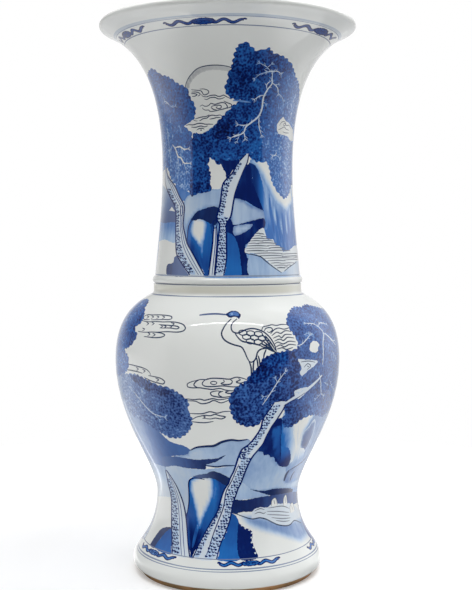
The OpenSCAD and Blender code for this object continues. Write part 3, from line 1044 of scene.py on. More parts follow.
def neck_rocks(art):
    """Rocks, cliffs and terraces at the foot of the neck scene."""
    art.wash([(-30, 294), (-33, 287), (-33.5, 276), (-34, 272), (-29.5, 262), (-24, 253), (-20, 249),
              (-14, 249), (-12, 262), (-11, 272), (-11, 282), (-13, 289), (-17, 293), (-24, 294)],
             fade=((-18, 284, 0.6), (-17, 254, 0.8)))
    art.wash([(-33.5, 277), (-29, 276), (-25, 271), (-22, 264), (-20, 258), (-17, 249), (-24, 249),
              (-29.5, 262), (-34, 272)], STRONG, blur=2.5, rim=0.7)
    art.wash([(-31.5, 288), (-29, 294), (-22, 295), (-16.5, 291), (-16.5, 282), (-18.5, 274), (-19.5, 262),
              (-22, 268), (-25, 274), (-29, 278), (-31.5, 282)], BARE, blur=3.6, rim=0.62)
    art.wash([(-31, 292.5), (-28, 296.5), (-25.5, 299), (-18, 301.5), (-11, 303), (-7, 301), (-8, 292),
              (-10, 288), (-14, 289.5), (-18, 291.5), (-23, 293), (-27, 292)], DEEP, ink=0.4)
    art.line([(-28, 293), (-31, 291), (-33, 287), (-33.5, 281), (-33.8, 274)], 1.0, DEEP, 0.4)
    art.wash([(-13.5, 289), (-10.5, 288), (-10, 249), (-14, 249), (-12.5, 262), (-12, 275)], STRONG)
    art.wash([(19, 337), (36, 339), (38, 331), (40, 325), (43, 319), (47, 314), (56, 311), (67, 314),
              (80, 312), (95, 308), (95, 266), (70, 270), (58, 267), (50, 267), (47, 270), (41, 272),
              (38, 276.5), (31, 276.5), (30, 287), (30, 300), (26, 311), (22, 319), (21, 326.5)],
             fade=((40, 310, 0.4), (44, 274, 0.62)))
    art.wash([(19, 339), (36, 345), (44, 335), (52, 322), (60, 322), (72, 322), (76, 308), (66, 302),
              (58, 299), (50, 303), (43, 307), (37, 315), (30, 326), (24, 333)], BARE, blur=6.0, rim=0.46)
    art.wash([(18, 337), (24, 335), (29, 326), (32, 315.5), (34, 303), (34, 286), (30.5, 285), (30, 300),
              (25, 311.5), (22, 319), (21, 326.5)], fade=((23, 318, 0.95), (33, 318, 0.48)))
    art.lines([
        [(37, 314), (38, 300), (40, 286), (42, 273)],
        [(44, 306), (45, 294), (47, 282), (49, 269)],
        [(52, 302), (52, 290), (53, 280), (54, 268)],
        [(60, 300), (60, 290), (60, 280), (59, 269)],
        [(69, 306), (69, 294), (70, 282), (68, 272)],
    ], 3.6, FULL, 0.1, blur=1.6, rim=0.5)
    art.lines([
        [(41, 310), (42, 299), (43.5, 288)],
        [(48, 304), (49, 293), (50.5, 281)],
        [(56.5, 302), (57, 292), (57.5, 281)],
        [(65, 306), (64.5, 294), (64, 283)],
    ], 3.0, PALE * 0.7, 0.1, blur=1.4, rim=0.46)
    art.wash([(17, 336), (19.5, 334.5), (21, 326.5), (22.5, 319), (26, 311), (29, 304), (30.5, 299.5),
              (22.5, 303), (14, 307.5), (5, 308), (7, 315), (10.5, 324), (14, 331)], DEEP)
    art.wash([(4, 308.5), (12.5, 308), (18, 304), (25.5, 301.5), (30.5, 299.5), (31, 292), (21, 291),
              (15, 289), (4, 287), (3, 296)], fade=((8, 304, 0.28), (26, 294, 0.36)), ink=0.3, blur=2.4,
             rim=0.52)
    art.wash([(0, 291), (2.5, 293), (5, 288.5), (15, 290.5), (21, 292), (31, 293.5), (31.5, 287), (24, 282),
              (19, 276.5), (14, 272), (14.5, 265), (17.5, 258), (17.5, 249), (9.5, 249), (9.5, 258),
              (8.5, 268.5), (5.5, 278), (1, 281), (-2, 284)], DEEP)
    art.wash([(4.5, 282), (5, 287), (11, 288.5), (20.5, 288.8), (18, 285.5), (11, 281.4), (6, 280)], PALE,
             ink=0.3, blur=2.0, rim=0.5)
    art.wash([(-2, 282.5), (2.5, 281.5), (6, 278), (9, 268.5), (10, 258), (10, 249), (-4, 249), (-2, 260),
              (-2, 271)], fade=((0, 276, 0.72), (6, 254, 0.58)))
    art.wash([(13.5, 269), (20, 278.5), (26, 284.5), (30, 286), (32, 280), (33, 277), (39, 277), (41, 273),
              (47, 271), (49.5, 267.5), (60, 269), (70, 272), (95, 270), (95, 258), (70, 259), (56, 254),
              (46.5, 250.5), (37, 256), (29, 262), (20, 265.5), (14, 266.5)], 0.06)
    heights = (253, 257, 260, 263, 266, 268, 271, 276, 282)
    wests = (43, 37, 32.5, 28, 20, 14.5, 14.5, 18, 23)
    easts = (52, 64, 84, 86, 86, 60, 47, 39, 30)
    for row in range(15):
        z = 281.6 - 1.95 * row
        west, east = float(np.interp(z, heights, wests)), float(np.interp(z, heights, easts))
        split = west + (east - west) * art.hand.uniform(0.3, 0.7)
        drop = art.hand.uniform(-0.5, 0.7)
        for start, end, height in ((west, split + 1.0, z), (split - 1.0, east, z - drop)):
            art.line([(start, height), (0.5 * (start + end), height + 0.3), (end, height - 0.2)],
                     art.hand.uniform(0.6, 1.0), STRONG, 0.4, ink=1.0)
    art.wash([(17.5, 266), (26, 263.5), (31, 259.5), (38, 254.5), (45, 250.8), (51, 252.5), (58, 255.5),
              (72, 259), (95, 258), (95, 248.4), (17.5, 248.4)], fade=((24, 254, 0.34), (70, 252, 0.2)),
             ink=0.2)
    art.line([(13.5, 266), (20, 265), (26.5, 263.2), (31, 259.6), (38, 254.8), (46, 250.4)], 1.0, DEEP,
             ink=1.0)
    art.line([(49, 251.6), (57, 255), (72, 259)], 0.8, DEEP, ink=1.0)


def neck_trunks(art):
    """Two old pine trunks with scaly bark."""
    trunk(art, [(337, -69, -67.5), (329, -70, -63), (320, -66.5, -51), (311, -57, -44), (304, -50, -38.5),
                (296, -47.5, -38.3), (289, -47, -38.6), (282, -46.5, -36.4), (274, -45.4, -33.4),
                (266, -43.8, -27.8), (259, -38.5, -23.4), (249, -29.5, -17.5)], ((0.04, 0.46, 250, 318),),
          (0.62, 0.8))
    art.loop(-41, 300, 1.5, 4.2, 0.8, DEEP)
    trunk(art, [(344, 15.5, 18), (338, 9.5, 16.8), (334, 6.8, 15), (329, 4, 12.6), (323, -2, 10),
                (319.5, -4, 8.6), (312.5, -5, 6.2), (305, -6, 4.6), (299, -7.6, 3.6), (295, -8.6, 2.6),
                (292, -8.2, 1), (289, -6.4, -0.8), (282, -6.8, -0.8), (273, -7.6, -0.8), (261.5, -8.2, -0.8),
                (249, -9.2, -2.8)], ((0.03, 0.42, 295, 337), (0.08, 0.92, 250, 294)))
    trunk(art, [(286.5, -10.8, -8.6), (280, -11.4, -8.2), (275, -11.6, -8), (261.5, -13, -8.8),
                (249, -14.2, -9.8)], (), (0.6,))
    art.loop(-10, 289, 1.7, 3.2, 1.0, DEEP)


def neck_side(art):
    """A rock and a leaning pine trunk at the side, where one scene ends and the next begins."""
    art.wash([(80, 249), (80.5, 262), (82, 275), (84.5, 285), (88, 291), (91.5, 288), (95, 279), (98, 265),
              (100, 249)], fade=((88, 288, 0.6), (90, 252, 0.85)))
    art.wash([(86, 282), (89, 284), (91, 276), (91.5, 265), (90, 256), (87.5, 262), (86, 272)], BARE,
             blur=2.6, rim=0.6)
    art.wash([(81.5, 276), (84, 287), (88, 293.5), (92, 290.5), (94.5, 283), (90.5, 286), (86.5, 283)], DEEP,
             ink=0.4)
    trunk(art, [(344, 84, 85.4), (330, 84.4, 87), (316, 86, 89.4), (302, 88.2, 92.2), (288, 90.2, 94.8),
                (274, 91.6, 96.8), (261, 92.6, 98.4), (249, 93, 99.6)], ((0.06, 0.6, 250, 334),), (0.72,))
    art.bough([(84.8, 342), (84, 352), (86, 361), (84, 369)], 0.9)
    art.bough([(84, 350), (88, 355), (93, 357)], 0.75)


def paint_neck(path):
    """The painting on the neck: pines, rocks and a rising moon between lines at the mouth and the foot."""
    art = Brushwork(path)
    motifs = (neck_ground, neck_moon, neck_clouds, neck_rocks, neck_pines, neck_boughs, neck_trunks)
    paint_scene(art, motifs, neck_moon, neck_side)
    rings = ((248.2, 1.0, MID), (443.7, 2.2, PALE), (442.8, 0.7, MID), (437.6, 0.8, FULL))
    emblems = ((-66, 19), (-12, 20), (57, 22), (117, 20), (177, 20), (-125, 20))
    paint_border(art, rings, emblems, 440.1, 2.3, STRONG)
    return art


# The body

def body_ground(art):
    """Hills and washes in the lower half of the body."""
    art.wash([(-95, 110), (-70, 104), (-46, 101), (-44, 88), (-46, 76), (-50, 68.5), (-59.5, 66.5),
              (-71, 64), (-87, 60), (-95, 60)], fade=((-60, 98, 0.4), (-62, 66, 0.16)), ink=0.3)
    art.wash([(-95, 172), (-62, 164), (-50, 140), (-38, 124), (-35, 120.5), (-30.5, 118.5), (-25.5, 117),
              (-21.5, 113), (-25, 109), (-34.5, 106.5), (-44, 103), (-46, 96), (-55, 95), (-70, 96),
              (-95, 100)], fade=((-64, 124, 0.44), (-34, 112, 0.7)), ink=0.25)
    art.wash([(-40, 126), (-36, 122.5), (-30, 120), (-25, 119), (-22, 115.5), (-21, 113), (-25.5, 116.5),
              (-30.5, 117.6), (-35, 119.5)], BARE)
    art.wash([(-46, 95), (-37, 98), (-28, 97), (-17, 97), (-5, 99), (5, 101), (8, 100), (4, 86), (-2, 80),
              (-10, 92), (-20, 90), (-27, 88), (-30, 76), (-31, 67), (-33, 53), (-38, 64), (-42, 76),
              (-46, 88)], fade=((-40, 92, 0.2), (-2, 96, 0.34)), ink=0.25)
    art.wash([(-22, 113), (-18, 116), (-12, 117.5), (-7.5, 118), (-3, 121.5), (2, 123), (6, 122.5),
              (11, 123.5), (14, 118), (9, 110), (6, 102), (-2, 100), (-14, 100), (-27, 104.5), (-35, 106),
              (-25, 109)], fade=((-22, 108, 0.26), (6, 114, 0.36)), ink=0.3, blur=2.2, rim=0.42)
    art.wash([(-46, 103), (-34.5, 106), (-27, 105.8), (-19, 105.2), (-13, 106.2), (-6.5, 107.2), (-1, 110.2),
              (-6.5, 104.5), (-13.5, 101), (-14, 97.5), (-20.5, 97), (-28, 97), (-37, 97.5), (-48, 95)],
             fade=((-42, 100, 0.66), (-14, 102, 0.96)), ink=0.35)
    art.line([(-22, 113), (-18, 115.8), (-12, 117.3), (-7.5, 118), (-3, 121.3), (2, 123), (6, 122.4),
              (11, 123.2)], 2.2, DEEP, 0.3, ink=0.6)
    art.line([(-14, 100.8), (-7, 99.8), (-2, 100.8), (5, 101)], 1.5, DEEP, 0.3, ink=0.6)
    art.wash([(-24, 90), (-18, 92), (-14, 93), (-10, 95.8), (-6, 94.8), (-2, 92.5), (2, 89), (2, 82),
              (-3, 84), (-6.5, 87.5), (-11, 89.5), (-18, 88.5)], fade=((-20, 90, 0.8), (-4, 90, 1.0)),
             ink=0.5)


def body_cliff(art):
    """The cliff, the plateaus and the water at the right."""
    art.wash([(17, 114), (20, 128), (27, 139), (40, 140), (54, 138), (72, 136), (95, 134), (95, 68),
              (57, 70), (19, 76), (2, 80), (8, 90), (12, 100)], SOFT)
    art.wash([(17, 112), (26, 108.5), (33, 100.5), (42, 97), (47, 92), (46, 83.5), (55, 80), (75, 80),
              (95, 80), (95, 70), (57, 73.5), (37.5, 77), (28, 76.5), (19, 78), (8, 86), (10, 92),
              (13, 104)], fade=((18, 104, 0.4), (34, 82, 0.28)), ink=0.25, blur=2.2, rim=0.46)
    art.wash([(45, 140), (60, 138), (72, 136), (95, 134), (95, 80), (72, 79), (58, 82), (55, 79.5), (47, 82),
              (46, 88), (52, 97), (47, 108), (46, 118)], fade=((50, 112, 0.5), (78, 108, 0.42)), ink=0.3)
    art.wash([(30, 144), (54, 144), (50, 132), (48, 122), (55, 109), (47, 108), (39, 112), (32, 124)], BARE,
             blur=3.4, rim=0.36)
    art.wash([(47, 124), (50, 128), (54, 134), (58, 126), (59, 116), (58, 106), (54, 107), (49, 112)],
             fade=((52, 128, 0.7), (55, 109, 0.9)), ink=0.4, blur=2.8, rim=0.24)
    art.wash([(39, 115), (47, 111), (54.5, 109), (58, 105), (59, 95), (48, 93), (46, 88.5), (42, 97)],
             fade=((46, 112, 0.02), (50, 94, 0.44)), ink=0.2)
    art.lines([
        [(38, 132), (40, 122), (44, 112), (47, 104)],
        [(41, 132), (43, 122), (47, 112), (50, 103)],
        [(45, 128), (46, 119), (50, 109), (53, 100)],
    ], 1.2, 0.2, 0.2, blur=0.5, rim=0.06)
    art.wash([(28, 137), (36, 135), (39, 124), (46, 107), (47, 99), (38, 99), (32, 110)],
             fade=((31, 122, 0.58), (43, 126, 0.04)))
    art.wash([(31, 114), (38, 113), (42, 107.5), (44.5, 101), (44, 96), (37, 97), (33, 101)],
             fade=((37, 114, 0.54), (40, 99, 0.96)))
    art.wash([(20, 124), (23, 133), (26, 139), (29, 138), (30, 124), (34, 104), (36.5, 97), (34, 101),
              (31.5, 102), (29.5, 106), (27, 106.5), (25, 109), (22.5, 108.6), (20.5, 112), (18, 112.5),
              (19.5, 118)], DEEP)
    art.wash([(24, 131), (29, 133), (31, 121), (35, 104), (34.5, 100.5), (31, 105), (28, 110), (25.5, 120)],
             fade=((27, 128, 0.7), (33, 104, 0.9)), blur=1.4, rim=0.98)
    art.line([(46, 82.5), (46, 88.5), (47.5, 91.5)], 3.0, DEEP, 0.4, ink=0.7)
    art.line([(47.5, 91.5), (54, 93.4), (62, 96), (68, 101)], 1.4, DEEP, 0.4, ink=0.7)
    art.line([(54, 81), (54, 86), (55.5, 89)], 1.6, DEEP, 0.4, ink=0.7)
    art.lines([
        [(62, 132), (63, 122), (64, 112), (64, 102)],
        [(70, 130), (70, 119), (71, 106), (71, 95)],
    ], 4.0, MID, 0.1, ink=0.3, blur=1.8, rim=0.5)
    art.wash([(8, 87), (19, 78.4), (28, 76), (34, 72.4), (23.5, 71.6), (13, 71), (2, 70.5), (5, 78)],
             fade=((8, 82, 0.26), (20, 73, 0.36)), ink=0.25)
    art.wash([(17, 79.4), (28, 77), (37.5, 77.4), (57, 74), (64, 71), (60, 68), (46, 70), (35, 72),
              (27.5, 75)], DEEP, ink=0.5)
    art.wash([(2, 70.6), (13, 70.6), (23.5, 71.8), (34, 72), (60.5, 70), (80, 66), (95, 64), (95, 56),
              (70, 58), (37, 62), (24, 62.5), (20.5, 61), (20, 55), (13, 58), (2, 61.5)],
             fade=((10, 66, 1.0), (64, 64, 0.78)), ink=0.3)


def body_terrace(art):
    """A terrace with standing stones in the water, and the slope below it."""
    art.wash([(8, 60), (23, 60), (34, 57), (46, 52), (64, 50), (80, 47), (95, 44), (95, 27.6), (72, 27.6),
              (60, 28), (49, 33), (38, 38), (28, 42), (18, 46.5), (12, 51)], 0.46, ink=0.25, blur=7.0,
             rim=0.0)
    art.wash([(19, 55), (20, 61.5), (26, 63.5), (32, 62.5), (37, 64.5), (48, 63), (57, 61.5), (72, 55),
              (80, 48), (64, 46), (55, 44.5), (49.5, 45), (41.5, 47.5), (36, 50.5), (31, 53), (24.5, 55)],
             MIST)
    for x, z, wide, tall in ((39.5, 66.2, 3.0, 3.2), (52.5, 65.4, 2.6, 4.2), (63, 57, 4.0, 3.6)):
        stone, crack = ([(x + aside * wide, z + high * tall) for aside, high in points] for points in (
            ((-1.0, -1.0), (-0.9, 0.4), (0.0, 1.0), (0.7, 0.4), (1.0, -1.0)),
            ((-0.2, 0.5), (0.1, -0.7)),
        ))
        art.wash(stone, BARE)
        art.lines([stone, crack], 0.6, STRONG, 0.5, ink=1.0)
    art.lines([
        [(21, 61), (26, 62.4), (30, 61)],
        [(21, 58.6), (25, 59.6), (29, 58.2), (31, 59)],
        [(33, 62), (48, 61), (58, 57)],
        [(32, 59.5), (43, 57.6), (57, 54)],
        [(32, 57), (44, 54.6), (57, 51.6)],
        [(36, 54), (46, 51.4), (58, 49.4)],
        [(40, 51), (48, 48.8), (56, 47.6)],
    ], 0.75, STRONG, 0.3, ink=1.0)
    art.line([(3, 61.4), (11, 57.8), (19, 55), (25.5, 55.2), (31, 53.4), (36, 50.4), (41.5, 47.4),
              (49.5, 45), (55, 44.6), (63, 46), (76, 40.5)], 1.0, DEEP, 0.4, 1.0)


def body_rocks(art):
    """The pale rock in the middle and the wedges of dark ground at the foot."""
    art.wash([(-27.5, 86.5), (-20, 88.5), (-14, 89), (-11, 90), (-6, 89), (-1, 85), (-3.5, 75), (-5.5, 67.5),
              (-9.5, 58), (-15, 48), (-19, 39), (-21, 26.8), (-26, 26.8), (-29, 38), (-32, 48), (-33.5, 55),
              (-32, 62), (-31, 68), (-30, 76), (-29, 84)], fade=((-18, 82, 0.56), (-23, 40, 0.8)))
    art.wash([(-7, 91), (0, 88), (-2.5, 75), (-5, 66), (-9.5, 56), (-12, 58), (-9, 70), (-8, 80)], STRONG,
             blur=2.4, rim=0.62)
    art.wash([(-33.5, 58), (-30, 56), (-27, 52), (-25, 56), (-22, 52), (-16.5, 46), (-19, 37), (-21, 26.8),
              (-26, 26.8), (-29, 38), (-32, 48)], fade=((-24, 54, 0.84), (-25, 36, 1.08)), blur=2.6,
             rim=0.78)
    art.line([(-21, 58), (-22.6, 50), (-24, 42), (-24.6, 33)], 3.0, 0.36, 0.2, blur=1.2, rim=0.8)
    art.wash([(-28.6, 83), (-27.4, 87), (-24, 89.4), (-18, 91.6), (-10, 91), (-9.5, 80), (-11.5, 71),
              (-15, 63), (-18, 56), (-21, 47), (-24, 53), (-26.5, 62), (-28.5, 71), (-29.5, 79)], BARE,
             blur=4.2, rim=0.62)
    art.wash([(-24, 90), (-18, 92.5), (-14, 93.5), (-10, 95.8), (-6, 94.8), (-2, 92.5), (2, 89), (2, 82),
              (-3, 84.5), (-6.5, 87.5), (-11, 89.5), (-18, 89)], fade=((-20, 90, 0.8), (-4, 90, 1.0)),
             ink=0.5)
    art.line([(-16, 88), (-20, 88.8), (-25.5, 88), (-28.6, 84.5), (-30.2, 76), (-31.2, 67.5), (-32.2, 61),
              (-33.6, 54)], 1.2, DEEP, 0.5)
    art.wash([(2, 60.5), (6.5, 58), (8.5, 53), (9, 39), (9, 26.8), (-8, 26.8), (-5, 36), (-1, 45), (1, 52)],
             fade=((3, 52, 0.76), (4, 30, 0.6)))
    art.wash([(8, 52.5), (10, 51.4), (13, 48.6), (17, 47), (18.6, 44), (17.6, 39), (18.6, 34), (19.6, 26.8),
              (8, 26.8)], DEEP)
    for x, z in ((10.8, 50.6), (13.4, 48.2), (16.2, 46.8), (18, 44.4), (17.4, 41), (17.2, 37.6), (18, 34),
                 (18.6, 30)):
        art.loop(x, z, 0.35, 0.35, 0.7, MIST)
    art.wash([(-63.5, 26.8), (-63, 33), (-59, 40), (-51.5, 43.6), (-46, 44), (-51, 39.5), (-55, 34),
              (-56, 26.8)], 0.95, ink=0.5)
    art.wash([(-56.5, 26.8), (-55, 34), (-50.5, 40.8), (-45, 43.6), (-39, 35), (-36, 26.8)],
             fade=((-50, 36, 0.68), (-44, 28, 0.6)))


def body_trunks(art):
    """Two leaning pine trunks that rise from the foot line."""
    trunk(art, [(92, -47.8, -46.6), (86, -49.2, -44), (79, -50.6, -41.2), (73, -50.6, -39.4),
                (64, -50, -36.3), (56, -49.4, -34), (45.5, -47, -31.4), (36, -43, -28.6),
                (26.8, -38.6, -25)], ((0.04, 0.46, 27.5, 84),), (0.56, 0.74))
    trunk(art, [(152, 23, 30), (146, 20.5, 28.5), (139, 18, 26), (132.5, 17.5, 23.5), (125, 15, 21.5),
                (119, 12, 20.3), (115, 8.4, 18.5), (108.5, 6.5, 15.2), (103, 5.5, 13.4), (96, 4, 11.8),
                (90.5, 2, 10.6), (85, 0.5, 9.3), (80.5, -2, 7.6), (75, -4, 6.2), (67.5, -6, 4), (61, -8, 3),
                (54, -12, 1.5), (45, -16.5, -1.6), (36.5, -20, -5), (26.8, -22.5, -7)],
          ((0.06, 0.6, 107, 150), (0.32, 0.96, 66, 107), (0.5, 0.96, 27.5, 66), (0.03, 0.24, 27.5, 68)))
    art.line([(7, 102), (3, 88), (-1, 78), (-3, 65.5), (-7, 54), (-10.5, 43.5), (-14, 28)], 0.9, DEEP, 0.4)
    art.loop(8.6, 109.5, 1.3, 2.6, 0.9, DEEP)
    art.loop(11, 115, 1.3, 1.8, 0.8, DEEP)
    art.line([(28, 150), (33, 154), (39, 158), (46, 163.5), (53, 170)], 2.6, MIST, 0.3)
    art.line([(28.5, 149), (35, 153.5), (41, 158)], 0.7, DEEP, 0.3)


def body_pines(art):
    """The masses of needles at both sides of the body and in the middle."""
    art.leaves([(-98, 204), (-95, 217), (-88, 225), (-72, 228.5), (-62, 227), (-58, 222.5), (-53, 217),
                (-52, 211.5), (-56, 207), (-52, 202), (-53, 197), (-57, 192), (-62, 188.5), (-58, 185),
                (-56.5, 178), (-60, 171), (-75, 165), (-95, 160)], fade=((-66, 205, 0.7), (-56, 208, 0.9)))
    art.leaves([(-66, 168), (-58, 170), (-50, 171), (-42, 168), (-36, 165), (-28, 163), (-22, 158),
                (-19, 153), (-19.5, 146), (-18, 140), (-19, 133), (-22, 127.5), (-27, 123), (-34, 122.5),
                (-40, 126), (-50, 132), (-66, 138)], fade=((-60, 150, 0.62), (-26, 146, 0.8)), ink=0.24)
    art.leaves([(-56, 169), (-48, 170), (-40, 166.5), (-30, 162), (-26, 158), (-34, 157), (-46, 161)], 0.94,
               depth=0.8, ink=0.24)
    art.leaves([(33.5, 206), (32, 212), (34, 217), (39, 222), (44, 224), (50, 223.5), (56, 225), (62, 224),
                (70, 222), (80, 220), (95, 218), (95, 134), (80, 132), (70, 136), (62, 134), (55, 137),
                (48, 138), (42, 136), (36, 131), (31, 132), (29, 138), (30, 144), (27, 149), (22, 146),
                (18, 139), (15, 134.5), (10, 134), (5, 137), (2.5, 142), (1, 150), (1, 158), (4, 165),
                (9, 171), (12, 177), (15, 181), (17, 187), (21, 189.5), (25, 191), (30, 192), (35, 193),
                (36, 199)], fade=((18, 165, 0.92), (62, 176, 0.77)), ink=0.1)
    art.leaves([(9, 171), (14, 180), (18, 187.5), (24, 190), (32, 190), (30, 182), (22, 174), (14, 168)],
               fade=((14, 178, 1.0), (28, 180, 0.92)), depth=0.8)


def body_boughs(art):
    """Bare boughs left white among the needles, and the gaps between them."""
    art.wash([(43.5, 191), (44.5, 195.5), (47, 197.6), (50, 196.6), (51.4, 194), (50, 192), (49.5, 189.4),
              (46.5, 188.6)], BARE)
    art.wash([(35.5, 184.6), (40, 184), (45, 183), (49, 181.5), (46, 178), (42, 175.4), (38, 171.5),
              (36.5, 174), (37.5, 178)], MIST)
    art.lines([
        [(37, 182.4), (42, 182.6), (47, 181)],
        [(39, 178), (41.5, 180.6), (43.6, 178.6), (41, 176)],
        [(41, 179), (42.4, 178)],
    ], 0.7, DEEP, ink=1.0)
    art.wash([(34, 160), (39, 162), (44, 161.5), (41, 157.5), (37, 153.5), (34.5, 156)], MIST)
    art.bough([(53, 178), (54, 185), (55, 195), (57.5, 203), (54.5, 208)], 1.1, 2.2)
    art.bough([(57.5, 203), (63, 199), (70, 192)], 1.0, 2.2)
    for points in (
        [(54.5, 208), (51, 210.5), (45, 211.4)],
        [(54.5, 208), (58, 210.5), (65, 208.8)],
        [(34.5, 195), (38, 195.6), (41, 198), (44, 201), (46, 203)],
        [(63, 199), (66, 195.5), (71, 195)],
        [(50, 173), (52.5, 163), (54, 155), (56.5, 153)],
        [(17, 151), (20, 158), (24, 168), (28, 176)],
        [(-54, 157), (-48, 149), (-42, 141.5), (-38, 140), (-34, 139.2)],
    ):
        art.bough(points, 0.75)
    for points in (
        [(44, 201.5), (47, 202.6)],
        [(41, 203), (44, 203.6)],
        [(34, 159), (38, 158.6)],
        [(24, 168), (23, 171)],
        [(20, 158), (17.5, 157.4)],
        [(54, 155), (50, 151.4)],
        [(55, 164), (59, 161.4)],
        [(-41, 141), (-38, 137)],
        [(61, 165), (66, 158), (70, 155)],
        [(64, 188), (69, 181)],
    ):
        art.bough(points, 0.45, 2.2, 0.2)


def body_clouds(art):
    """Scrolling clouds drawn in line."""
    art.lines([
        [(-46, 214), (-51, 214), (-52.5, 216), (-50, 217.5), (-46.5, 217.6), (-41, 218), (-36.5, 218),
         (-32, 217.4), (-31, 216), (-32.5, 215), (-36, 214.8), (-40.5, 214.4), (-45, 214)],
        [(-52, 204.5), (-46.5, 204.4), (-41, 205), (-37, 205.2), (-31.5, 206), (-26, 206), (-22.5, 207),
         (-21.5, 209), (-23, 211.6), (-26.5, 213), (-30.5, 213.4), (-36, 213), (-41.5, 213), (-46, 212.4),
         (-54, 213)],
        [(-38, 211), (-33, 210.8), (-29, 210.6), (-26, 210.2), (-25, 209.2), (-26.4, 208.4), (-30, 208.8),
         (-36, 208.4)],
        [(-46, 201.2), (-42, 201), (-37.5, 201), (-33.5, 202), (-32.4, 203.4), (-34.5, 204.6), (-39, 205)],
        [(-60, 177.6), (-55, 178), (-49.5, 177.6), (-45, 177), (-41.5, 175.6), (-39.6, 173), (-40, 171)],
        [(-60, 173.4), (-50.5, 173.4), (-45, 172.6)],
        [(-44, 169.6), (-39, 167.4), (-35, 166.4), (-32, 166), (-31, 167.8), (-33, 170), (-37, 171),
         (-41, 171.4)],
        [(5, 163), (2, 162.6), (-1, 163.2), (-3.5, 164.4), (-7, 163.6), (-10, 164), (-13, 164.6),
         (-17, 164.4), (-19, 165.2), (-19, 167.2), (-17, 169), (-15, 170)],
        [(-15, 170), (-12.5, 171), (-10, 171), (-8, 172), (-5, 172.2), (-2.5, 172), (1, 171.6), (4, 173),
         (7, 172.2), (9, 171)],
        [(-13, 171), (-15, 169), (-15.8, 166.5), (-14, 164.6)],
        [(-9, 172), (-11, 170), (-11.8, 167.6), (-10.5, 166), (-7, 165.8), (-2, 166.4), (3, 165.6),
         (7, 166.4)],
        [(-2, 171), (-1.4, 169.6), (-3, 168.2), (-1, 167.4), (1.6, 168), (2.2, 170), (1, 171.6)],
        [(5, 172), (6, 171), (4, 169.4), (6, 168.4), (8, 169.6)],
        [(3, 159), (0.5, 158), (-2.5, 157.5), (-5.5, 158), (-7.5, 159), (-8, 161), (-5.5, 162.4),
         (-3, 162.2)],
        [(-2, 162.4), (-4, 161), (-4, 159), (-2.5, 158)],
        [(4, 161), (0.5, 160.6), (-1, 161.6), (1, 162.6)],
        [(-20, 154), (-15.5, 154), (-12.5, 152.2), (-9, 153.2), (-6.5, 155), (-3, 153.2), (1.5, 156)],
        [(-20, 155.6), (-16, 155.2), (-13, 155.8), (-11, 155), (-7, 156.4), (-4, 155.6), (1, 157)],
        [(-19, 144), (-15, 144), (-12, 144.4), (-8.5, 146), (-5, 145), (-2, 146.2), (2, 146.6)],
        [(-18, 139), (-16, 141), (-14, 142), (-11, 143), (-8.5, 142.8), (-6, 144), (-4, 143), (-1, 142),
         (-3, 140.4), (-6, 141), (-8.5, 140.2), (-12, 140.6)],
        [(-19, 137.4), (-12, 137), (-7, 138.2)],
    ], 1.0, DEEP, 0.5, ink=1.0)
    for x, z in ((-48.6, 215.8), (-44.6, 216), (-40.6, 216.2), (-36.6, 216.4), (-46, 210.8), (-42, 211.2),
                 (-33.4, 209.6), (-30, 209.7), (-29, 211.8), (-47.6, 206.4)):
        art.line([(x - 1.6, z + 1.0), (x + 0.6, z + 0.2), (x - 0.8, z - 1.2)], 0.9, DEEP, 0.4, 1.0)
    for x, z in ((-36, 209.6), (-43, 203.2), (-39.4, 203), (-49, 175.4), (-44, 174.6), (-35.4, 168.8),
                 (-12, 141.6)):
        art.line([(x - 1.0, z + 1.2), (x + 1.0, z + 0.1), (x - 0.6, z - 1.3)], 0.9, DEEP, 0.4, 1.0)
    art.loop(-6.4, 168.6, 1.5, 1.2, 0.8, DEEP, 1.0)


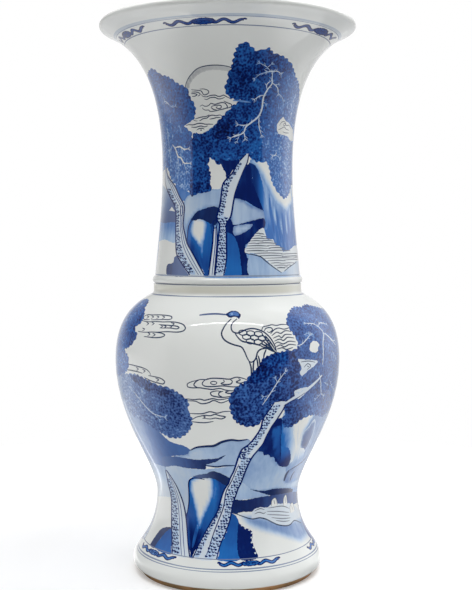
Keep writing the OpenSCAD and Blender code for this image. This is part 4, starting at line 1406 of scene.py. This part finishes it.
def body_crane(art):
    """A crane that stands on the pine, looking to the left, and the cloud behind it."""
    art.lines([
        [(17, 207), (18, 210), (21, 211), (23, 211.6), (25.5, 211), (29, 211.6), (33, 211)],
        [(18.4, 207), (19.4, 209), (22, 209.6), (23, 208), (21, 206), (19.8, 206.8)],
        [(21.5, 205), (24, 208), (26.5, 209), (29.5, 208), (33, 209)],
        [(22, 203.6), (25, 206), (27, 205), (30, 206.8), (33.5, 206)],
        [(22.5, 201.6), (26, 203.2), (27, 201.6), (29.5, 204), (33.5, 203.6)],
        [(23, 199.4), (26, 200.8), (28, 199.6), (30.5, 201.8), (34.5, 201)],
        [(23, 197.4), (25, 198.6), (27.5, 197), (31, 198.8), (35, 198)],
        [(23.5, 195), (26, 196.4), (28, 194.8), (31, 196.4), (35, 195.6)],
        [(24, 193.4), (27, 194.2), (29, 192.8), (33, 194)],
    ], 0.95, DEEP, 0.5, ink=1.0)
    art.wash([(2, 216), (5, 216), (2.5, 213.5), (2, 210.5), (2.5, 207), (4.5, 206), (7, 207), (12.5, 209),
              (16, 208), (18.5, 206), (21, 202), (23.5, 191.5), (20, 187), (17, 186), (14, 181), (11, 176),
              (10, 185), (8, 192), (7, 195.5), (0, 199), (-3, 206), (-0.5, 213)], BARE)
    art.line([(-15.4, 218.9), (-11, 219.7), (-6, 220), (-2, 219.6), (1, 219.2)], 1.7, STRONG, 0.7, ink=0.5)
    art.wash([(-0.8, 219.6), (1, 221.6), (4, 222.3), (6, 221.3), (7.2, 219), (6, 216.4), (5, 217.4),
              (3.5, 218), (2, 217.2), (0, 218)], DEEP, ink=0.5)
    art.wash([(0.6, 219.6), (1.6, 221), (4, 221.6), (5.6, 220.8), (6.2, 219), (4.6, 218.6), (3, 219),
              (1.6, 218.4)], 0.58, ink=0.2)
    art.loop(2.4, 219.9, 0.5, 0.5, 0.5, PALE)
    art.lines([
        [(2, 216.4), (-0.5, 213), (-2.2, 209), (-2.9, 205.6), (-2, 202), (0, 199.4), (3, 197.4),
         (6.6, 195.6), (8, 192), (9, 188), (10, 185)],
        [(5, 216.4), (2.6, 213.5), (1.8, 210.5), (2.4, 207.4), (4.5, 206), (7, 207), (9, 208.4),
         (12.5, 209.2), (16, 208), (18.5, 206), (21, 202), (23, 196), (23.6, 191.5)],
        [(3.6, 206), (5, 202.8), (7, 200), (10.5, 198.8), (13.5, 197.5), (16.4, 196.2)],
        [(16, 196), (19, 194.2), (21, 192.6), (23.4, 190.8)],
        [(10, 185), (11, 184.2), (12.4, 185.2), (13.5, 188), (14, 191), (15, 193), (17, 194.2), (19.4, 194)],
        [(10, 185), (10.6, 182.4), (11, 179.4), (11, 174)],
        [(12.4, 185), (12, 182), (11.9, 174)],
        [(13.5, 188), (14, 184.4), (14.2, 181), (14.6, 177)],
        [(14.4, 189), (15, 185), (15.3, 179)],
        [(18.5, 193.6), (17.4, 190), (17, 187)],
        [(17.5, 186.4), (20, 187.4), (22.5, 190), (23.5, 191.4)],
    ], 1.25, DEEP, 0.6, ink=1.0)
    feather = ((1, 1), (2, -1), (1, -2), (-1, -1), (-2, 1), (-1, 2), (1, 1))
    for row in range(3):
        for place in range(3):
            x = 7.6 + 3.8 * place + 1.7 * row
            z = 206.2 - 0.6 * place - 3.2 * row
            art.line([(x + (3.8 * across + 1.7 * down) / 3, z - (0.6 * across + 3.2 * down) / 3)
                      for across, down in feather], 0.9, DEEP, 0.9, 1.0)
    art.lines([
        [(17, 205.4), (19.5, 199), (22.4, 192)],
        [(16.6, 200.6), (20.4, 195.4), (23.2, 191)],
        [(18.6, 204), (21.2, 198), (23.2, 192.4)],
        [(15.6, 198.4), (19, 195.4), (22, 192.4)],
    ], 1.3, DEEP, 0.3, ink=1.0)


def body_side(art):
    """A rock and a leaning pine trunk at the side, where one scene ends and the next begins."""
    art.wash([(80, 26.8), (80.5, 46), (82, 64), (84.5, 80), (88, 90), (91.5, 87), (95, 74), (98, 54),
              (100, 26.8)], fade=((88, 86, 0.58), (90, 32, 0.85)))
    art.wash([(86, 79), (89.5, 80), (91, 66), (91, 50), (89.5, 38), (87, 48), (85.5, 64)], BARE, blur=2.8,
             rim=0.6)
    art.wash([(81.5, 66), (84, 82), (88, 93), (92, 90), (94.5, 80), (90.5, 84), (86.5, 79)], DEEP, ink=0.4)
    trunk(art, [(176, 85.6, 86.8), (160, 84.6, 87.4), (144, 85, 89.4), (126, 87, 92.2), (106, 89.6, 95.2),
                (86, 91.6, 97.6), (64, 93, 99.4), (44, 93.6, 100.6), (26.8, 94, 101.4)],
          ((0.06, 0.58, 28, 158),), (0.74,))
    art.bough([(86.2, 174), (85.4, 184), (87.4, 193), (85.6, 202)], 0.9)
    art.bough([(85.4, 182), (90, 187), (95, 188)], 0.75)
    art.bough([(87, 192), (82, 197), (79, 198)], 0.6)


def paint_body(path):
    """The painting on the body: a crane among pines over rocks, and the border on the foot."""
    art = Brushwork(path)
    motifs = (body_clouds, body_ground, body_cliff, body_crane, body_terrace, body_rocks, body_pines,
              body_boughs, body_trunks)
    paint_scene(art, motifs, body_crane, body_side)
    rings = ((26.6, 0.7, FULL), (20.0, 1.0, 0.6), (18.4, 0.7, 0.6))
    emblems = [(x, 19.5) for x in (-55, 14.5, 85, 157, -127)]
    paint_border(art, rings, emblems, 23.6, 2.1, MID)
    return art


def paint_collar(path):
    """Two dark lines on the white collar."""
    art = Brushwork(path)
    art.ring(241.2, 1.1, STRONG)
    art.ring(232.2, 1.6, FULL)
    return art


# Pieces

# Points of a seam closer than this, in metres, become one
SEAM_GAP = 2e-6

# Painted shade: how much of its brightness the glaze keeps inside the vase, darkened as if in the shadow of
# the walls
INNER_PAINTED_SHADE = 0.78


def new_piece(name, material, slot, *nodes):
    """Finishes the active object: its name, material and body, and hides the nodes that it stands for. slot
    is not used.
    """
    piece = bpy.context.object
    piece.name = name
    piece.data.name = name
    piece.data.materials.clear()
    piece.data.materials.append(material)
    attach(piece, "root")
    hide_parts(*nodes)
    return piece


def wrap(mesh, spots, path):
    """Rolls a flat sheet of (degrees, distance along the path) on to the vase."""
    turn = np.radians(spots[:, 0])
    radius, height = path.at(spots[:, 1])
    places = np.stack([radius * np.sin(turn), -radius * np.cos(turn), height], 1) * MM
    mesh.vertices.foreach_set("co", places.reshape(-1))
    mesh.update()


def close_seam():
    """Joins the two upright edges of a rolled sheet."""
    bpy.ops.object.mode_set(mode="EDIT")
    bpy.ops.mesh.select_all(action="SELECT")
    bpy.ops.mesh.remove_doubles(threshold=SEAM_GAP)
    bpy.ops.object.mode_set(mode="OBJECT")


def true_normals(mesh, path, inside=False):
    """Shades the mesh by the smooth section that it was turned from."""
    places = vertex_places(mesh)
    run = np.empty(len(mesh.vertices), np.float32)
    mesh.attributes["run"].data.foreach_get("value", run)
    out, up = path.facing(run)
    if inside:
        out, up = -out, -up
    turn = np.arctan2(places[:, 1], places[:, 0])
    normals = np.stack([out * np.cos(turn), out * np.sin(turn), up], 1)
    mesh.shade_smooth()
    mesh.normals_split_custom_set_from_vertices(normals.tolist())
    mesh.attributes.remove(mesh.attributes["run"])


def store(mesh, name, domain, values):
    """Keeps one number for each point or corner of a mesh."""
    layer = mesh.attributes.new(name, "FLOAT", domain)
    layer.data.foreach_set("value", np.ascontiguousarray(values, np.float32).reshape(-1))


def unwrap(mesh, corners, low, high):
    """A map of the rolled sheet: round the vase and along the path."""
    layer = mesh.uv_layers.new(name="OFBake")
    flat = np.stack([corners[..., 0] / 360.0 + 0.5, (corners[..., 1] - low) / (high - low)], -1)
    layer.data.foreach_set("uv", np.ascontiguousarray(flat, np.float32).reshape(-1))


def painted_skin(name, art, low, high, material):
    """A coat of painted glaze between two distances along the path."""
    spots, faces, tone, leaf, ink = art.cut(low, high)
    used = np.unique(faces)
    order = np.zeros(len(spots), int)
    order[used] = np.arange(len(used))
    spots, faces = spots[used], order[faces]
    bpy.ops.object.select_all(action="DESELECT")
    bpy.ops.mesh.primitive_plane_add()
    mesh = bpy.context.object.data
    mesh.clear_geometry()
    mesh.from_pydata(np.pad(spots, ((0, 0), (0, 1))).tolist(), [], faces.tolist())
    wrap(mesh, spots, art.path)
    store(mesh, "run", "POINT", spots[:, 1])
    for layer, values in (("cobalt", tone), ("leaf", leaf), ("ink", ink)):
        store(mesh, layer, "CORNER", values)
    unwrap(mesh, spots[faces], low, high)
    close_seam()
    true_normals(mesh, art.path)
    return new_piece(name, material, "painted_glaze", "outer_glaze")


class VASE_OT_outer_glaze(Operator):
    """Make the painted glaze of the neck, the collar and the body"""

    bl_idname = "vase.outer_glaze"
    bl_label = "Painted glaze"

    def execute(self, context):
        path = TurnedPath(outer_corners())
        material = painted_glaze()
        collar_low, collar_high = (path.along(corner.z / MM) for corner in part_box("collar"))
        painted_skin("neck_glaze", paint_neck(path), collar_high, path.run[-1], material)
        painted_skin("collar_glaze", paint_collar(path), collar_low, collar_high, material)
        painted_skin("body_glaze", paint_body(path), path.run[0], collar_low, material)
        return {"FINISHED"}


class VASE_OT_inner_glaze(Operator):
    """Make the clear glaze inside, from the lip down to the floor"""

    bl_idname = "vase.inner_glaze"
    bl_label = "Inner glaze"

    def execute(self, context):
        path = TurnedPath(inner_corners())
        rows = path.rows(0.0, path.run[-1])
        columns = round(2 * math.pi / settings("painting").column)
        bpy.ops.object.select_all(action="DESELECT")
        bpy.ops.mesh.primitive_grid_add(x_subdivisions=columns, y_subdivisions=len(rows) - 1, size=2)
        mesh = bpy.context.object.data
        flat = vertex_places(mesh)
        place = np.round((flat[:, 1] + 1.0) / 2.0 * (len(rows) - 1)).astype(int)
        spots = np.stack([-180.0 * flat[:, 0], rows[place]], 1)
        wrap(mesh, spots, path)
        store(mesh, "run", "POINT", spots[:, 1])
        corner = np.empty(len(mesh.loops), int)
        mesh.loops.foreach_get("vertex_index", corner)
        while mesh.uv_layers:
            mesh.uv_layers.remove(mesh.uv_layers[0])
        unwrap(mesh, spots[corner], 0.0, path.run[-1])
        close_seam()
        true_normals(mesh, path, inside=True)
        # The glaze inside is darkened by painted shade
        finish = clear_glaze("inner_glaze_finish", INNER_PAINTED_SHADE)
        new_piece("inner_glaze_skin", finish, "clear_glaze", "inner_glaze")
        return {"FINISHED"}


class VASE_OT_bare_clay(Operator):
    """Give the clay sections, the slip joints, the foot and the underside their finish"""

    bl_idname = "vase.bare_clay"
    bl_label = "Bare clay"

    def execute(self, context):
        colours = settings("colours")
        finishes = {
            "clay": bare_clay("bare_clay", colours.clay),
            "slip": bare_clay("fired_slip", colours.slip),
            "biscuit": burnt_ring(),
            "clear_glaze": clear_glaze("base_glaze_finish"),
        }
        for subpart in frame["record"]["subparts"]:
            finish = finishes.get(subpart["material_slot"])
            if finish:
                mesh = frame["nodes"][subpart["node"]].data
                mesh.materials.clear()
                mesh.materials.append(finish)
        return {"FINISHED"}


# Stage: a heading is -1 towards the camera and 1 behind the vase, and a slope is 0 at eye level

TABLE_RADIUS = 0.6
TABLE_SIDES = 128
SCREENS_START = (-0.48, -0.43)
SCREENS_CHANGE = (0.1, 0.6)
BACKDROP_START = (0.5, 0.9)
EYE_LEVEL = (-0.06, 0.02)
DARK_UPPER_LEFT = (0.1, 0.22)
DARK_LOWER_RIGHT = (-0.1, -0.5)
TABLE_START = (-0.8, 0.2)
TABLE_BACK = (0.4, 0.9)
NEAR_FOOT = (0.15, 0.45)

# Painted light that the table adds for the camera: at the foot, where it lifts the shadow, and how it
# changes outwards and towards the back
FOOT_GLOW = 0.19
GLOW_OUTWARDS = ((-0.17, (0.07, 0.2)), (0.35, (0.22, 0.4)))
GLOW_BACKWARDS = ((0.05, (-0.6, -0.1)), (0.08, (0.3, 0.9)))

# A bright streak on the table, which shows as a gleam low on the left: its direction, place and edge
GLEAM_ACROSS = (1.0, 0.45, 0.0)
GLEAM_PLACE = -0.118
GLEAM_EDGE = 0.01
GLEAM_START = (-0.3, 0.1)

# Name, place, aim, size, the setting with its power, and whether it is seen only in the glaze
LIGHTS = (
    ("front_fill", (0.2, -1.8, 0.9), (0.0, 0.0, 0.2), (1.4, 1.0), "fill", False),
    ("top_light", (0.15, -0.25, 1.5), (0.0, 0.0, 0.15), (1.2, 1.2), "top", False),
    ("overhead_strip", (0.0, -0.66, 1.24), (0.0, -0.05, 0.2), (1.5, 0.02), "strip", True),
)


def area_light(name, place, aim, size, power, glossy):
    """A flat soft light at a place, aimed at a point; a glossy one is seen only in the glaze."""
    bpy.ops.object.light_add(type="AREA", location=place)
    lamp = bpy.context.object
    lamp.name = name
    lamp.rotation_euler = (Vector(aim) - Vector(place)).to_track_quat("-Z", "Y").to_euler()
    lamp.data.shape = "RECTANGLE"
    lamp.data.size, lamp.data.size_y = size
    lamp.data.energy = power
    lamp.visible_camera = False
    lamp.visible_glossy = glossy
    lamp.visible_diffuse = not glossy


def ray_kind(shader, name):
    """1 for one kind of ray, such as Is Camera Ray."""
    return shader.node("ShaderNodeLightPath", output=name)


class VASE_OT_stage(Operator):
    """Set up the camera, the table, the backdrop and the lights"""

    bl_idname = "vase.stage"
    bl_label = "Studio"

    def execute(self, context):
        stage = settings("stage")
        self.camera(context, stage)
        self.table(stage)
        self.surroundings(context, stage)
        self.lights(stage)
        context.scene.view_settings.view_transform = "Standard"
        return {"FINISHED"}

    @staticmethod
    def camera(context, stage):
        """Stands the camera in front of the vase, with the picture shifted to the photograph's frame."""
        bpy.ops.object.camera_add(location=(0, -stage.distance, stage.height),
                                  rotation=(math.pi / 2 - stage.tilt, 0, 0))
        camera = context.object
        camera.data.sensor_width = SENSOR_MM
        camera.data.lens = SENSOR_MM * stage.focal / IMAGE_H
        camera.data.shift_x = (IMAGE_W / 2 - stage.axis_column) / IMAGE_H
        context.scene.camera = camera

    @staticmethod
    def table(stage):
        """A pale round table; reflections see its own brightness, and the camera sees it white, with painted
        light that lifts the shadow at the foot and leaves a soft shadow beside it.
        """
        bpy.ops.object.select_all(action="DESELECT")
        bpy.ops.mesh.primitive_circle_add(vertices=TABLE_SIDES, radius=TABLE_RADIUS, fill_type="NGON")
        table = bpy.context.object
        table.name = "table"
        shader = Shader("table_top")
        spot = shader.node("ShaderNodeTexCoord", output="Object")
        reach = shader.node("ShaderNodeVectorMath", {"operation": "LENGTH"}, (spot,), "Value")
        level = shader.node("ShaderNodeVectorMath", {"operation": "NORMALIZE"}, (spot,))
        away = shader.node("ShaderNodeSeparateXYZ", None, (level,), "Y")
        near = 1.0 - reach.step(*NEAR_FOOT)
        lit = (away - 0.3 * near).step(*TABLE_START)
        behind = away.step(*TABLE_BACK)
        shine = stage.front + lit * (stage.low - stage.front) + behind * (stage.back - stage.low)
        across = shader.node("ShaderNodeVectorMath", {"operation": "DOT_PRODUCT"}, (spot, GLEAM_ACROSS),
                             "Value")
        rise = across.step(GLEAM_PLACE - GLEAM_EDGE, GLEAM_PLACE)
        fall = across.step(GLEAM_PLACE, GLEAM_PLACE + GLEAM_EDGE)
        shine = shine + rise * (1.0 - fall) * away.step(*GLEAM_START) * stage.low
        mirrored = shader.node("ShaderNodeEmission", None, {"Strength": shine})
        matt = shader.node("ShaderNodeBsdfDiffuse", None, {"Color": (*stage.floor, 1.0)})
        matt = shader.node("ShaderNodeMixShader", None, (ray_kind(shader, "Is Glossy Ray"), matt, mirrored))
        # Painted light for the camera: brightest at the foot, least a little way out, bright again towards
        # the rim
        glow = FOOT_GLOW
        for wire, changes in ((reach, GLOW_OUTWARDS), (away, GLOW_BACKWARDS)):
            for change, span in changes:
                glow = glow + change * wire.step(*span)
        glow = ray_kind(shader, "Is Camera Ray") * glow
        glow = shader.node("ShaderNodeEmission", None, {"Strength": glow})
        both = shader.node("ShaderNodeAddShader", None, (matt, glow))
        shader.node("ShaderNodeOutputMaterial", None, {"Surface": both})
        table.data.materials.append(shader.owner)

    @staticmethod
    def surroundings(context, stage):
        """The world: white to the camera, soft light on the vase, dark and white screens in its glaze."""
        world = bpy.data.worlds.new("studio")
        context.scene.world = world
        shader = Shader("studio", world)
        camera = ray_kind(shader, "Is Camera Ray").most(ray_kind(shader, "Is Transmission Ray"))
        glossy = ray_kind(shader, "Is Glossy Ray")
        heading = shader.node("ShaderNodeTexCoord", output="Generated")
        level = shader.node("ShaderNodeVectorMath", {"operation": "MULTIPLY"}, (heading, (1.0, 1.0, 0.0)))
        level = shader.node("ShaderNodeVectorMath", {"operation": "NORMALIZE"}, (level,))
        away = shader.node("ShaderNodeSeparateXYZ", None, (level,), "Y")
        up = shader.node("ShaderNodeSeparateXYZ", None, (heading,), "Z")
        above = up.step(*EYE_LEVEL)
        screens = above * away.step(*SCREENS_START) + (1.0 - above) * away.step(*TABLE_START)
        left = shader.node("ShaderNodeSeparateXYZ", None, (level,), "X").step(0.1, -0.1)
        behind = away.step(*BACKDROP_START)
        sides = stage.sides * (1.0 + away.step(*SCREENS_CHANGE) * (0.9 - 1.4 * left))
        sides = above * sides + (1.0 - above) * stage.low
        shine = stage.front + screens * (sides - stage.front) + behind * (stage.back - sides)
        shine = shine * (1.0 - 0.4 * left * up.step(*DARK_UPPER_LEFT))
        shine = shine * (1.0 - 0.5 * (1.0 - left) * up.step(*DARK_LOWER_RIGHT))
        soft = stage.ambient * (0.4 + 0.6 * up.step(-0.1, 0.1)) * (0.7 + 0.8 * away.step(-0.5, 0.4))
        unseen = glossy * shine + (1.0 - glossy) * soft
        strength = camera + (1.0 - camera) * unseen
        white = (1.0, 1.0, 1.0, 1.0)
        surface = shader.node("ShaderNodeBackground", None, {"Color": white, "Strength": strength})
        shader.node("ShaderNodeOutputWorld", None, {"Surface": surface})

    @staticmethod
    def lights(stage):
        """A broad light in front, one overhead, and the strip that draws the line on the shoulder."""
        for name, place, aim, size, power, glossy in LIGHTS:
            area_light(name, place, aim, size, getattr(stage, power), glossy)


# Add-on

class VASE_PT_sidebar(Panel):
    """Lists the pieces of the vase and their settings"""

    bl_idname = "VASE_PT_sidebar"
    bl_label = "Yen Yen Vase"
    bl_space_type = "VIEW_3D"
    bl_region_type = "UI"
    bl_category = "Vase"

    def draw(self, context):
        for operator in OPERATORS:
            self.layout.operator(operator.bl_idname)
        for name, group in GROUPS:
            box = self.layout.box()
            box.label(text=name.title())
            for prop in group.__annotations__:
                box.prop(settings(name), prop)


GROUPS = (("colours", VaseColours), ("painting", VasePainting), ("stage", VaseStage))
OPERATORS = (VASE_OT_stage, VASE_OT_outer_glaze, VASE_OT_inner_glaze, VASE_OT_bare_clay)
CLASSES = (*(group for name, group in GROUPS), *OPERATORS, VASE_PT_sidebar)


def register():
    """Adds the classes and the settings."""
    for made in CLASSES:
        bpy.utils.register_class(made)
    for name, group in GROUPS:
        setattr(bpy.types.Scene, "vase_" + name, PointerProperty(type=group))


def unregister():
    """Takes the settings and the classes away."""
    for name, group in GROUPS:
        delattr(bpy.types.Scene, "vase_" + name)
    for made in reversed(CLASSES):
        bpy.utils.unregister_class(made)


def main():
    """Builds the stage and the pieces."""
    register()
    bpy.ops.vase.stage()
    bpy.ops.vase.outer_glaze()
    bpy.ops.vase.inner_glaze()
    bpy.ops.vase.bare_clay()


if __name__ == "__main__":
    main()
